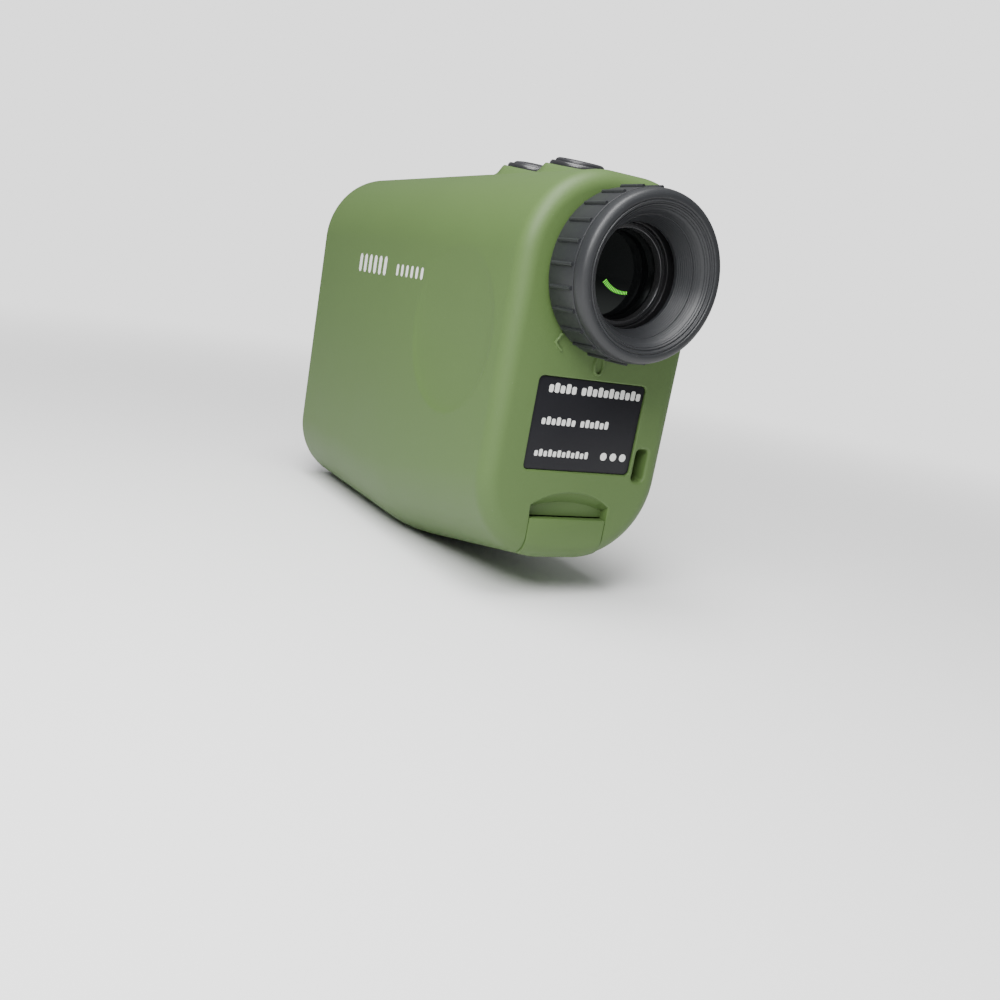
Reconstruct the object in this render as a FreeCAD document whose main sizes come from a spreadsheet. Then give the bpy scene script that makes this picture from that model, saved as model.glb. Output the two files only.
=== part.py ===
"""Handheld monocular laser rangefinder, 6x25, built as its separate pieces.

Millimetres. +Y is the sighting direction, +X the user's right and +Z up. The origin is under the
middle of the whole length, on the plane of the flat base.
"""

import FreeCAD, Part
import math
import os
import Sketcher

DIMENSIONS = {
    # the moulded case
    "body_width": 39.0,
    "body_height": 78.0,
    "body_length": 97.5,
    "top_drop": 0.6,
    "wall": 2.2,
    "top_radius": 16.2,
    "bottom_radius": 15.8,
    "rear_round": 3.2,
    "front_round": 2.3,
    "inner_round": 1.0,
    "chin_rise": 8.4,
    "chin_length": 42.0,
    "chin_bend": 60.0,
    "base_trim": 0.6,
    "scoop_depth": 0.8,
    "scoop_radius": 150.0,
    "scoop_place": 22.0,
    "scoop_height": 46.5,
    # the eyepiece
    "eye_height": 61.0,
    "eyepiece_reach": 10.6,
    "barrel_radius": 12.0,
    "barrel_wall": 1.4,
    "barrel_depth": 13.0,
    "flange_width": 1.6,
    "flange_thickness": 2.0,
    "ring_wall": 2.55,
    "ring_gap": 0.6,
    "ring_split": 8.0,
    "lip_step": 0.1,
    "lip_width": 2.1,
    "skirt_gap": 0.4,
    "rib_count": 24,
    "rib_start": 1.0,
    "rib_height": 0.45,
    "rib_width": 0.7,
    "rib_length": 6.0,
    "cell_wall": 1.65,
    "seal_wire": 0.4,
    # the objective and the laser, one above the other
    "objective_radius": 12.0,
    "bezel_width": 1.0,
    "laser_height": 24.0,
    "laser_lens_radius": 9.5,
    "plate_thickness": 2.5,
    "plate_sink": 0.8,
    "gasket_thickness": 0.8,
    "gasket_width": 1.0,
    "lens_seat": 0.4,
    "tube_wall": 1.2,
    # the prism box and the boards
    "prism_half": 7.2,
    "prism_clear": 0.3,
    "chassis_wall": 1.5,
    "chassis_start": 14.2,
    "chassis_end": 52.0,
    "board_thickness": 1.0,
    # the buttons on their two bosses
    "range_place": 18.0,
    "mode_place": 33.5,
    "boss_tilt": 7.0,
    "boss_crest": 1.4,
    "boss_ramp": 3.2,
    "boss_margin": 1.4,
    "bezel_rim": 0.85,
    "bezel_stand": 1.2,
    "button_radius": 4.65,
    "button_gap": 0.1,
    "button_stand": 1.9,
    "stem_radius": 2.2,
    "stem_reach": 4.3,
    "stem_gap": 0.08,
    # the rating label, the lanyard slot and the finger notch
    "label_width": 23.5,
    "label_height": 16.8,
    "label_middle": 33.56,
    "label_thickness": 0.5,
    "label_sink": 0.9,
    "label_corner": 1.0,
    "slot_place": 14.1,
    "slot_middle": 27.1,
    "slot_width": 2.75,
    "slot_height": 6.25,
    "slot_depth": 7.0,
    "notch_depth": 2.0,
    "notch_corner": 18.5,
    "notch_top": 21.1,
    # the battery and its door
    "door_width": 17.0,
    "door_top": 16.0,
    "door_thickness": 1.8,
    "door_gap": 0.2,
    "hinge_place": 40.0,
    "hinge_height": 2.2,
    "knuckle_radius": 1.5,
    "knuckle_half": 3.7,
    "ear_half": 7.0,
    "pin_radius": 0.7,
    "cell_radius": 7.8,
    "cell_length": 27.0,
    "cell_start": 8.5,
    "cell_clear": 0.3,
    "tray_wall": 1.2,
    # screws and small fits
    "screw_radius": 1.0,
    "screw_head": 1.9,
    "screw_head_height": 1.2,
    "screw_length": 8.0,
    "screw_post": 3.0,
    "upper_post_inset": 4.7,
    "upper_post_z": 42.0,
    "lower_post_inset": 8.7,
    "lower_post_z": 7.7,
    "post_length": 13.0,
    "fit_gap": 0.05,
    "seat_gap": 0.1,
}

doc = FreeCAD.newDocument("rangefinder")
sheet = doc.addObject("Spreadsheet::Sheet", "dim")
for row, (word, number) in enumerate(DIMENSIONS.items(), start=1):
    sheet.set(f"A{row}", word)
    sheet.set(f"B{row}", str(number))
    sheet.setAlias(f"B{row}", word)
doc.recompute()

# Places that many pieces share, as expressions on the sheet
REAR = "(-(dim.body_length - dim.eyepiece_reach) / 2)"
FRONT = "((dim.body_length + dim.eyepiece_reach) / 2)"
CHIN_ANGLE = "atan(dim.chin_rise / dim.chin_length)"
HINGE_Y = f"({REAR} + dim.hinge_place)"
PLATE_BACK = f"({FRONT} - dim.plate_sink - dim.plate_thickness)"
LENS_BACK = f"({PLATE_BACK} - dim.gasket_thickness)"
CASE_BORE = "(dim.barrel_radius + dim.fit_gap)"
OBJECTIVE_BEZEL = "(dim.objective_radius + dim.bezel_width)"
LASER_BEZEL = "(dim.laser_lens_radius + dim.bezel_width)"
BARREL_BORE = "(dim.barrel_radius - dim.barrel_wall)"
FLANGE_RADIUS = "(dim.barrel_radius + dim.flange_width)"
CELL_BORE = f"({BARREL_BORE} - dim.fit_gap - dim.cell_wall)"
RING_RADIUS = f"({CASE_BORE} + dim.ring_wall)"
LIP_RADIUS = f"({RING_RADIUS} - dim.lip_step)"
MOUTH_RADIUS = f"({LIP_RADIUS} - dim.lip_width)"
SKIRT_RADIUS = f"({BARREL_BORE} - dim.skirt_gap)"
BUTTON_BEZEL = "(dim.button_radius + dim.button_gap + dim.bezel_rim)"
BOSS_HALF = f"({BUTTON_BEZEL} + dim.boss_margin)"
UPPER_POST_X = "(dim.body_width / 2 - dim.upper_post_inset)"
LOWER_POST_X = "(dim.body_width / 2 - dim.lower_post_inset)"
HALF = "half circle"


# ---------------------------------------------------------------------------------------------
# Ways of drawing: a body, a sketch outline, and the features made from them


def worth(expression):
    """The number that an expression on the sheet stands for."""
    found = sheet.evalExpression(expression)
    return float(getattr(found, "Value", found))


def origin_part(body, role):
    return next(item for item in body.Origin.OriginFeatures if item.Role == role)


def place(item, x="0", y="0", z="0"):
    for axis, expression in zip("xyz", (x, y, z)):
        item.setExpression(f"Placement.Base.{axis}", expression)
    return item


def tilt(item, angle):
    """Turns an item about the X direction by an angle from the sheet."""
    item.Placement = FreeCAD.Placement(FreeCAD.Vector(), FreeCAD.Rotation(FreeCAD.Vector(1, 0, 0), 1))
    item.setExpression("Placement.Rotation.Angle", angle)
    return item


def new_body(name):
    body = doc.addObject("PartDesign::Body", name)
    body.Label = name
    return body


def bowed(start, end, radius):
    """An arc between two points. A positive radius bows to the right of the way from start to end."""
    chord = end - start
    across = FreeCAD.Vector(-chord.y, chord.x, 0).normalize()
    height = math.sqrt(max(radius * radius - chord.Length ** 2 / 4, 0.0))
    middle = (start + end) * 0.5 + across * (height if radius > 0 else -height)
    angles = [math.atan2(point.y - middle.y, point.x - middle.x) for point in (start, end)]
    if radius < 0:
        angles.reverse()
    circle = Part.Circle(middle, FreeCAD.Vector(0, 0, 1), abs(radius))
    return Part.ArcOfCircle(circle, angles[0], angles[1])


def attached_sketch(body, role):
    sketch = body.newObject("Sketcher::SketchObject", f"{body.Name}_sketch")
    sketch.AttachmentSupport = [(origin_part(body, role), "")]
    sketch.MapMode = "FlatFace"
    return sketch


def bind(sketch, constraint, expression):
    sketch.setExpression(f"Constraints[{sketch.addConstraint(constraint)}]", expression)


def outline(body, role, corners):
    """A closed outline. A corner is (across, up), or (across, up, bow) before an arc. The bow is
    the arc's radius, or HALF for a half circle over a level or an upright chord."""
    sketch = attached_sketch(body, role)
    spots = [FreeCAD.Vector(worth(corner[0]), worth(corner[1]), 0) for corner in corners]
    ends = []
    for index, corner in enumerate(corners):
        start, end = spots[index], spots[(index + 1) % len(spots)]
        if len(corner) == 3 and corner[2] == HALF:
            sketch.addGeometry(bowed(start, end, (end - start).Length / 2), False)
            ends.append((1, 2))
            level = abs(end.x - start.x) > abs(end.y - start.y)
            kind, value, size = (
                ("DistanceY", start.y, corner[1]) if level else ("DistanceX", start.x, corner[0]))
            bind(sketch, Sketcher.Constraint(kind, -1, 1, index, 3, value), size)
        elif len(corner) == 3:
            radius = worth(corner[2])
            sketch.addGeometry(bowed(start, end, radius), False)
            ends.append((1, 2) if radius > 0 else (2, 1))
            size = corner[2] if radius > 0 else f"-({corner[2]})"
            bind(sketch, Sketcher.Constraint("Radius", index, abs(radius)), size)
        else:
            sketch.addGeometry(Part.LineSegment(start, end), False)
            ends.append((1, 2))
    for index, (first, last) in enumerate(ends):
        following = (index + 1) % len(ends)
        sketch.addConstraint(Sketcher.Constraint("Coincident", index, last, following, ends[following][0]))
        for kind, expression, value in (
            ("DistanceX", corners[index][0], spots[index].x),
            ("DistanceY", corners[index][1], spots[index].y),
        ):
            bind(sketch, Sketcher.Constraint(kind, -1, 1, index, first, value), expression)
    return sketch


def circles(body, role, rounds):
    """Circles given as (across, up, radius)."""
    sketch = attached_sketch(body, role)
    for index, (across, up, radius) in enumerate(rounds):
        middle = FreeCAD.Vector(worth(across), worth(up), 0)
        sketch.addGeometry(Part.Circle(middle, FreeCAD.Vector(0, 0, 1), worth(radius)), False)
        bind(sketch, Sketcher.Constraint("Radius", index, worth(radius)), radius)
        bind(sketch, Sketcher.Constraint("DistanceX", -1, 1, index, 3, middle.x), across)
        bind(sketch, Sketcher.Constraint("DistanceY", -1, 1, index, 3, middle.y), up)
    return sketch


def rectangle(left, right, low, high):
    return [(left, low), (right, low), (right, high), (left, high)]


def extrude(kind, body, sketch, length, middle=False, away=False):
    """A Pad or a Pocket. Middle spreads it to both sides, away turns it round."""
    feature = body.newObject(f"PartDesign::{kind}", f"{body.Name}_{kind}")
    feature.Profile = sketch
    feature.SideType = "Symmetric" if middle else "One side"
    feature.Reversed = away
    feature.setExpression("Length", length)
    doc.recompute()
    return feature


def pocket(body, sketch, length, middle=False, away=False):
    before = body.Shape.Volume
    feature = extrude("Pocket", body, sketch, length, middle, away)
    if not body.Shape.Volume < before - 1e-6:
        raise RuntimeError(f"{body.Label}: a pocket removed nothing")
    return feature


def revolve(body, sketch):
    """A turned piece about the body's own Y direction."""
    feature = body.newObject("PartDesign::Revolution", f"{body.Name}_Revolution")
    feature.Profile = sketch
    feature.ReferenceAxis = (sketch, ["H_Axis"])
    feature.Angle = 360
    doc.recompute()
    return feature


def turned(name, y, z, profile):
    """A piece turned about the Y direction through (0, y, z): the profile is (along, radius)."""
    body = place(new_body(name), y=y, z=z)
    revolve(body, outline(body, "YZ_Plane", profile))
    return body


def edges_where(body, test):
    """Names of the body's edges whose two ends both pass the test."""
    return [
        f"Edge{index}"
        for index, edge in enumerate(body.Tip.Shape.Edges, start=1)
        if all(test(vertex.Point) for vertex in edge.Vertexes)
    ]


def round_edges(body, names, radius):
    base = body.Tip
    feature = body.newObject("PartDesign::Fillet", f"{body.Name}_Fillet")
    feature.Base = (base, names)
    feature.setExpression("Radius", radius)
    doc.recompute()
    return feature


def box(name, x, y, z):
    """A block between two expressions along each direction."""
    item = doc.addObject("Part::Box", name)
    for size, (low, high) in zip(("Length", "Width", "Height"), (x, y, z)):
        item.setExpression(size, f"{high} - ({low})")
    return place(item, x[0], y[0], z[0])


def across_box(name, half, y, z):
    return box(name, (f"-({half})", half), y, z)


def rod(name, radius, x, y, z, length, turn=(1, 0, 0, -90)):
    """A round bar that starts at (x, y, z) and runs along +Y, or as turn says."""
    item = doc.addObject("Part::Cylinder", name)
    item.setExpression("Radius", radius)
    item.setExpression("Height", length)
    item.Placement.Rotation = FreeCAD.Rotation(FreeCAD.Vector(*turn[:3]), turn[3])
    return place(item, x, y, z)


def upright(name, radius, x, y, z, length):
    return rod(name, radius, x, y, z, length, turn=(1, 0, 0, 0))


def fuse(name, items):
    joined = doc.addObject("Part::MultiFuse", name)
    joined.Shapes = items
    return joined


def cut(name, base, tools):
    """The base less each tool in turn."""
    for index, tool in enumerate(tools, start=1):
        result = doc.addObject("Part::Cut", name if index == len(tools) else f"{name}_{index}")
        result.Base = base
        result.Tool = tool
        base = result
    return result


def group(name, items):
    """Separate solids that share one node."""
    together = doc.addObject("Part::Compound", name)
    together.Links = items
    return together


# ---------------------------------------------------------------------------------------------
# The case: a one-piece moulding, open at the front


def chin_surface(along, inset):
    """Height of the sloping underside at a distance from the rear face, less an inset wall."""
    return f"(dim.chin_rise * (1 - ({along}) / dim.chin_length) + ({inset}) / cos({CHIN_ANGLE}))"


def side_profile(inset, rear, front):
    """The case seen from the side, drawn inside its skin by an inset.

    The outer form reaches below the base plane, and the housing is cut off flat there to stand on.
    """
    trim = "dim.base_trim" if inset == "0" else "0"
    low = f"({inset} - {trim})"
    run = f"(dim.chin_bend * tan({CHIN_ANGLE} / 2))"
    bend_y = (f"({REAR} + dim.chin_length + {inset} * tan({CHIN_ANGLE} / 2)"
              f" + {trim} / tan({CHIN_ANGLE}))")
    return [
        (rear, chin_surface(f"{rear} - {REAR}", inset)),
        (f"{bend_y} - {run} * cos({CHIN_ANGLE})", f"{low} + {run} * sin({CHIN_ANGLE})", "dim.chin_bend"),
        (f"{bend_y} + {run}", low),
        (front, low),
        (front, f"dim.body_height - dim.top_drop - ({inset})"),
        (rear, f"dim.body_height - ({inset})"),
    ]


def case_form(name, inset, front):
    """The case's outer form, or the hollow inside it when an inset is given."""
    body = new_body(name)
    rear = f"({REAR} + {inset})"
    half = f"(dim.body_width / 2 - {inset})"
    sketch = outline(body, "YZ_Plane", side_profile(inset, rear, front))
    extrude("Pad", body, sketch, f"2 * {half}", middle=True)
    side, middle = worth(half), worth("dim.body_height") / 2
    ends = (worth(rear), worth(front))

    def lengthways(edge_test):
        return [
            f"Edge{index}"
            for index, edge in enumerate(body.Tip.Shape.Edges, start=1)
            if abs(edge.BoundBox.XLength) < 1e-6
            and abs(abs(edge.BoundBox.Center.x) - side) < 1e-6
            and edge.BoundBox.YLength > 1
            and edge_test(edge.BoundBox.Center.z)
        ]

    round_edges(body, lengthways(lambda height: height > middle), f"dim.top_radius - {inset}")
    round_edges(body, lengthways(lambda height: height < middle), f"dim.bottom_radius - {inset}")
    return body, ends


def end_edges(body, y):
    return edges_where(body, lambda point: abs(point.y - y) < 1e-6)


def boss(name, button_place):
    """A raised wedge on top that carries one button: a short ramp in front, a long fall behind."""
    crest = f"({REAR} + {button_place} + {BUTTON_BEZEL} + 0.3)"
    fall = f"2 * ({BUTTON_BEZEL} + 0.3) + 1"
    body = new_body(name)
    high = "dim.body_height + dim.boss_crest"
    sketch = outline(body, "YZ_Plane", [
        (f"{crest} - ({fall})", "dim.body_height - 3"),
        (f"{crest} + dim.boss_ramp", "dim.body_height - 3"),
        (f"{crest} + dim.boss_ramp", "dim.body_height - 0.8"),
        (crest, high),
        (f"{crest} - ({fall})", f"{high} - ({fall}) * tan(dim.boss_tilt * 1deg)"),
    ])
    extrude("Pad", body, sketch, f"2 * {BOSS_HALF}", middle=True)
    return body


def button_seat(item, button_place):
    """Puts an item at a button's centre on its sloping boss. The item's own Z is the press line."""
    tilt(item, "dim.boss_tilt * 1deg")
    drop = f"({BUTTON_BEZEL} + 0.3) * tan(dim.boss_tilt * 1deg)"
    return place(item, y=f"{REAR} + {button_place}", z=f"dim.body_height + dim.boss_crest - {drop}")


def button_well(name, button_place):
    """What is cut for a button: the bezel's seat, the well under the cap and the hole for the stem."""
    body = button_seat(new_body(name), button_place)
    well = "(dim.button_radius + dim.button_gap)"
    hole = "(dim.stem_radius + dim.stem_gap)"
    spin_up(body, [
        ("0", "-6"), (hole, "-6"), (hole, "-1.6"), (well, "-1.6"), (well, "-0.5"),
        (f"{BUTTON_BEZEL} + dim.fit_gap", "-0.5"), (f"{BUTTON_BEZEL} + dim.fit_gap", "4"), ("0", "4"),
    ])
    return body


def spin_up(body, profile):
    """Turns a profile of (radius, height) about the body's own Z direction."""
    sketch = outline(body, "XZ_Plane", profile)
    feature = body.newObject("PartDesign::Revolution", f"{body.Name}_Revolution")
    feature.Profile = sketch
    feature.ReferenceAxis = (sketch, ["V_Axis"])
    feature.Angle = 360
    doc.recompute()
    return feature


def door_block(name, half, depth, top, front):
    """An L-shaped block over the chin: the door's own blank, or the opening that is cut for it."""
    body = new_body(name)
    inner = f"({REAR} + {depth})"
    sketch = outline(body, "YZ_Plane", [
        (f"{REAR} - 3", top),
        (f"{REAR} - 3", "-3"),
        (front, "-3"),
        (front, chin_surface(f"{front} - {REAR}", depth)),
        (inner, chin_surface(depth, depth)),
        (inner, top),
    ])
    extrude("Pad", body, sketch, f"2 * ({half})", middle=True)
    return body


def hinge_ears():
    """Two lugs of the case that hold the ends of the door's pin."""
    body = new_body("hinge_ears")
    sketch = outline(body, "YZ_Plane", [
        (HINGE_Y, "dim.hinge_height - dim.knuckle_radius"),
        (f"{HINGE_Y} + 4", "dim.hinge_height - dim.knuckle_radius"),
        (f"{HINGE_Y} + 4", "dim.hinge_height + dim.knuckle_radius"),
        (HINGE_Y, "dim.hinge_height + dim.knuckle_radius", HALF),
    ])
    extrude("Pad", body, sketch, "2 * dim.ear_half", middle=True)
    gap = outline(body, "YZ_Plane", rectangle(
        f"{HINGE_Y} - 3", f"{HINGE_Y} + 6", "-3", "dim.hinge_height + 3"))
    pocket(body, gap, "2 * (dim.knuckle_half + dim.door_gap)", middle=True)
    bore = circles(body, "YZ_Plane", [(HINGE_Y, "dim.hinge_height", "dim.pin_radius + dim.fit_gap")])
    pocket(body, bore, "2 * dim.ear_half - 0.4", middle=True)
    return body


def post_places():
    return [
        (UPPER_POST_X, "dim.upper_post_z"),
        (f"-{UPPER_POST_X}", "dim.upper_post_z"),
        (LOWER_POST_X, "dim.lower_post_z"),
        (f"-{LOWER_POST_X}", "dim.lower_post_z"),
    ]


def screw_posts():
    """Four posts in the case that take the front cover's screws."""
    return [
        rod(f"post_{index}", "dim.screw_post", x, f"{LENS_BACK} - dim.post_length", z, "dim.post_length")
        for index, (x, z) in enumerate(post_places())
    ]


def post_bores():
    return [
        rod(f"post_bore_{index}", "dim.screw_radius + dim.fit_gap", x,
            f"{LENS_BACK} - dim.screw_length", z, "dim.screw_length + 1")
        for index, (x, z) in enumerate(post_places())
    ]


def label_pocket():
    """The sunk seat of the rating label, with rounded corners."""
    body = place(new_body("label_pocket"), y=REAR, z="dim.label_middle")
    half_w = "(dim.label_width / 2 + dim.seat_gap)"
    half_h = "(dim.label_height / 2 + dim.seat_gap)"
    sketch = outline(body, "XZ_Plane", rounded_rectangle(half_w, half_h, "dim.label_corner"))
    extrude("Pad", body, sketch, "2 * dim.label_sink", middle=True)
    return body


def rounded_rectangle(half_w, half_h, corner):
    """Corners of a rectangle about its centre, each with an arc, in anticlockwise order."""
    inner_w, inner_h = f"({half_w} - {corner})", f"({half_h} - {corner})"
    return [
        (inner_w, f"-({half_h})", corner), (half_w, f"-({inner_h})"),
        (half_w, inner_h, corner), (inner_w, half_h),
        (f"-({inner_w})", half_h, corner), (f"-({half_w})", inner_h),
        (f"-({half_w})", f"-({inner_h})", corner), (f"-({inner_w})", f"-({half_h})"),
    ]


def finger_notch():
    """The arched notch above the door, where a fingertip reaches the door's top edge."""
    body = place(new_body("finger_notch"), y=REAR)
    half = "(dim.door_width / 2 + dim.door_gap)"
    rise = "(dim.notch_top - dim.notch_corner)"
    radius = f"(({half} * {half} + {rise} * {rise}) / (2 * {rise}))"
    sketch = outline(body, "XZ_Plane", [
        (f"-{half}", "dim.door_top - 1"), (half, "dim.door_top - 1"),
        (half, "dim.notch_corner", radius), (f"-{half}", "dim.notch_corner"),
    ])
    extrude("Pad", body, sketch, "2 * dim.notch_depth", middle=True)
    return body


def lanyard_passage():
    """An upright slot in the rear face that turns out through the right side."""
    low, high = "dim.slot_middle - dim.slot_height / 2", "dim.slot_middle + dim.slot_height / 2"
    rear_hole = place(new_body("lanyard_rear"), x="dim.slot_place", y=REAR, z="dim.slot_middle")
    half = "dim.slot_width / 2"
    top = f"(dim.slot_height / 2 - {half})"
    sketch = outline(rear_hole, "XZ_Plane", [
        (half, f"-{top}"), (half, top, HALF), (f"-{half}", top), (f"-{half}", f"-{top}", HALF),
    ])
    extrude("Pad", rear_hole, sketch, "2 * dim.slot_depth", middle=True)
    side_hole = box("lanyard_side", ("dim.slot_place - dim.slot_width / 2", "dim.body_width / 2 + 1"),
                    (f"{REAR} + dim.slot_depth - dim.slot_width", f"{REAR} + dim.slot_depth"), (low, high))
    return [rear_hole, side_hole]


def thumb_scoops():
    """A shallow dished hold on each side, for the thumb or the fingertips."""
    dishes = []
    for name, side, seam_turn in (("scoop_right", "", 0), ("scoop_left", "-", 180)):
        dish = doc.addObject("Part::Sphere", name)
        dish.setExpression("Radius", "dim.scoop_radius")
        dish.Placement.Rotation = FreeCAD.Rotation(FreeCAD.Vector(0, 0, 1), seam_turn)
        place(dish, x=f"{side}(dim.body_width / 2 + dim.scoop_radius - dim.scoop_depth)",
              y=f"{REAR} + dim.scoop_place", z="dim.scoop_height")
        dishes.append(dish)
    return dishes


def housing():
    outer, ends = case_form("case_outer", "0", FRONT)
    round_edges(outer, end_edges(outer, ends[0]), "dim.rear_round")
    round_edges(outer, end_edges(outer, ends[1]), "dim.front_round")
    hollow, ends = case_form("case_hollow", "dim.wall", f"({FRONT} + 2)")
    round_edges(hollow, end_edges(hollow, ends[0]), "dim.inner_round")
    shell = cut("case_shell", outer, [hollow])
    lanyard_block = box(
        "lanyard_block", ("dim.slot_place - dim.slot_width / 2 - 1.2", "dim.body_width / 2 - dim.wall / 2"),
        (f"{REAR} + dim.wall / 2", f"{REAR} + dim.slot_depth + 2"),
        ("dim.slot_middle - dim.slot_height / 2 - 2", "dim.slot_middle + dim.slot_height / 2 + 2"))
    notch_block = across_box(
        "notch_block", "dim.door_width / 2 + dim.door_gap + 1.2",
        (f"{REAR} + dim.wall / 2", f"{REAR} + dim.notch_depth + dim.wall"),
        ("dim.door_top + dim.door_gap", "dim.notch_top + 1.5"))
    bosses = [boss("range_boss", "dim.range_place"), boss("mode_boss", "dim.mode_place")]
    solid = fuse("case_solid", [shell, lanyard_block, notch_block, *bosses, *screw_posts()])
    rear_bore = rod("rear_bore", CASE_BORE, "0", f"{REAR} - 1", "dim.eye_height", "dim.wall + 2")
    opening = door_block("door_opening", "dim.door_width / 2 + dim.door_gap", "dim.wall + 1.6",
                         "dim.door_top + dim.door_gap", f"({HINGE_Y} + dim.knuckle_radius + 0.8)")
    wells = [button_well("range_well", "dim.range_place"), button_well("mode_well", "dim.mode_place")]
    under = across_box("under_base", "dim.body_width", (f"{REAR} - 1", f"{FRONT} + 1"), ("-3", "0"))
    hollowed = cut("case_cut", solid, [
        under, rear_bore, opening, label_pocket(), finger_notch(), *lanyard_passage(), *wells,
        *post_bores(), *thumb_scoops()])
    return fuse("housing", [hollowed, hinge_ears()])


# ---------------------------------------------------------------------------------------------
# The front: cover plate, gasket, bezels, lenses and their tubes


def plate_form(name, inset, back, thickness):
    """A flat plate with the case's own front outline, drawn in by an inset."""
    body = place(new_body(name), y=back)
    half = f"(dim.body_width / 2 - ({inset}))"
    low, high = f"({inset})", f"(dim.body_height - dim.top_drop - ({inset}))"
    crown, foot = f"(dim.top_radius - ({inset}))", f"(dim.bottom_radius - ({inset}))"
    sketch = outline(body, "XZ_Plane", [
        (f"{half} - {foot}", low, foot), (half, f"{low} + {foot}"),
        (half, f"{high} - {crown}", crown), (f"{half} - {crown}", high),
        (f"-({half} - {crown})", high, crown), (f"-{half}", f"{high} - {crown}"),
        (f"-{half}", f"{low} + {foot}", foot), (f"-({half} - {foot})", low),
    ])
    extrude("Pad", body, sketch, thickness, away=True)
    return body


def front_cover():
    """The plate that closes the front, bored for both bezels and counterbored for its screws."""
    blank = plate_form("cover_blank", "dim.wall + dim.seat_gap", PLATE_BACK, "dim.plate_thickness")
    holes = [
        rod("objective_hole", f"{OBJECTIVE_BEZEL} + dim.fit_gap", "0", f"{PLATE_BACK} - 1", "dim.eye_height",
            "dim.plate_thickness + 2"),
        rod("laser_hole", f"{LASER_BEZEL} + dim.fit_gap", "0", f"{PLATE_BACK} - 1", "dim.laser_height",
            "dim.plate_thickness + 2"),
    ]
    for index, (x, z) in enumerate(post_places()):
        holes.append(rod(f"screw_hole_{index}", "dim.screw_radius + dim.seat_gap", x,
                         f"{PLATE_BACK} - 1", z, "dim.plate_thickness + 2"))
        holes.append(rod(f"screw_sink_{index}", "dim.screw_head + dim.seat_gap", x,
                         f"{PLATE_BACK} + dim.plate_thickness - dim.screw_head_height", z,
                         "dim.screw_head_height + 1"))
    return cut("front_cover", blank, holes)


def front_gasket():
    """A flat rubber ring between the cover and the case."""
    edge = "(dim.wall + dim.seat_gap)"
    ring = plate_form("gasket_blank", edge, LENS_BACK, "dim.gasket_thickness")
    window = plate_form("gasket_window", f"{edge} + dim.gasket_width", f"{LENS_BACK} - 1",
                        "dim.gasket_thickness + 2")
    holes = [
        rod("gasket_objective", f"{OBJECTIVE_BEZEL} + dim.seat_gap", "0", f"{LENS_BACK} - 1",
            "dim.eye_height", "dim.gasket_thickness + 2"),
        rod("gasket_laser", f"{LASER_BEZEL} + dim.seat_gap", "0", f"{LENS_BACK} - 1",
            "dim.laser_height", "dim.gasket_thickness + 2"),
    ]
    for index, (x, z) in enumerate(post_places()):
        holes.append(rod(f"gasket_screw_{index}", "dim.screw_radius + dim.seat_gap", x,
                         f"{LENS_BACK} - 1", z, "dim.gasket_thickness + 2"))
    return cut("front_gasket", ring, [window, *holes])


def front_screws():
    screws = []
    head_back = f"({PLATE_BACK} + dim.plate_thickness - dim.screw_head_height)"
    for index, (x, z) in enumerate(post_places()):
        head = rod(f"front_head_{index}", "dim.screw_head", x, head_back, z, "dim.screw_head_height - 0.1")
        shank = rod(f"front_shank_{index}", "dim.screw_radius", x, f"{head_back} - dim.screw_length + 1", z,
                    "dim.screw_length - 0.9")
        screws.append(fuse(f"front_screw_{index}", [head, shank]))
    return group("front_screws", screws)


def bezel(name, radius, height):
    """A turned ring that holds a lens against its tube and trims the hole in the cover."""
    outer = f"({radius} + dim.bezel_width)"
    front = "(dim.plate_thickness + 0.5)"
    return turned(name, PLATE_BACK, height, [
        ("-dim.gasket_thickness", f"{radius} - dim.lens_seat"), ("-dim.gasket_thickness", outer),
        (f"{front} - 0.3", outer), (front, f"{outer} - 0.3"), (front, f"{radius} + 0.2"),
        ("0.6", f"{radius} - dim.lens_seat"),
    ])


def lens(name, y, height, radius, rear_sag, front_sag, edge):
    """A lens with a spherical face each side. Sag is how far a face's middle stands out."""
    rear_radius = f"(({radius} * {radius} + {rear_sag} * {rear_sag}) / (2 * {rear_sag}))"
    front_radius = f"(({radius} * {radius} + {front_sag} * {front_sag}) / (2 * {front_sag}))"
    return turned(name, y, height, [
        (f"-({rear_sag})", "0", f"-{rear_radius}"),
        ("0", radius),
        (edge, radius, f"-{front_radius}"),
        (f"{edge} + {front_sag}", "0"),
    ])


def optical_tube():
    """The tube behind the objective, which narrows to the prism box."""
    wide, narrow = "(dim.objective_radius + dim.fit_gap)", "(dim.prism_half + 0.8)"
    start, stop = f"({REAR} + dim.chassis_end)", LENS_BACK
    run = f"({stop} - {start})"
    shoulder = f"({run} - 7)"
    return turned("optical_tube", start, "dim.eye_height", [
        ("0", narrow), ("0", f"{narrow} + dim.tube_wall"),
        (f"{run} * 0.4", f"{wide} + dim.tube_wall - 0.3"), (run, f"{wide} + dim.tube_wall - 0.3"),
        (run, wide), (shoulder, wide), (shoulder, f"{wide} - 0.8"), (f"{run} * 0.4", f"{wide} - 0.8"),
    ])


def emitter_tube():
    """The cone that carries the laser diode behind its collimating lens."""
    wide = "(dim.laser_lens_radius + dim.fit_gap)"
    back = f"({LENS_BACK} - 30)"
    return turned("emitter_tube", back, "dim.laser_height", [
        ("0", "2.9"), ("0", "6"), ("20", f"{wide} + dim.tube_wall - 0.4"),
        ("30", f"{wide} + dim.tube_wall - 0.4"),
        ("30", wide), ("25.5", wide), ("25.5", f"{wide} - 0.8"), ("20", f"{wide} - 0.8"), ("3", "4.6"),
        ("3", "2.9"),
    ])


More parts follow.
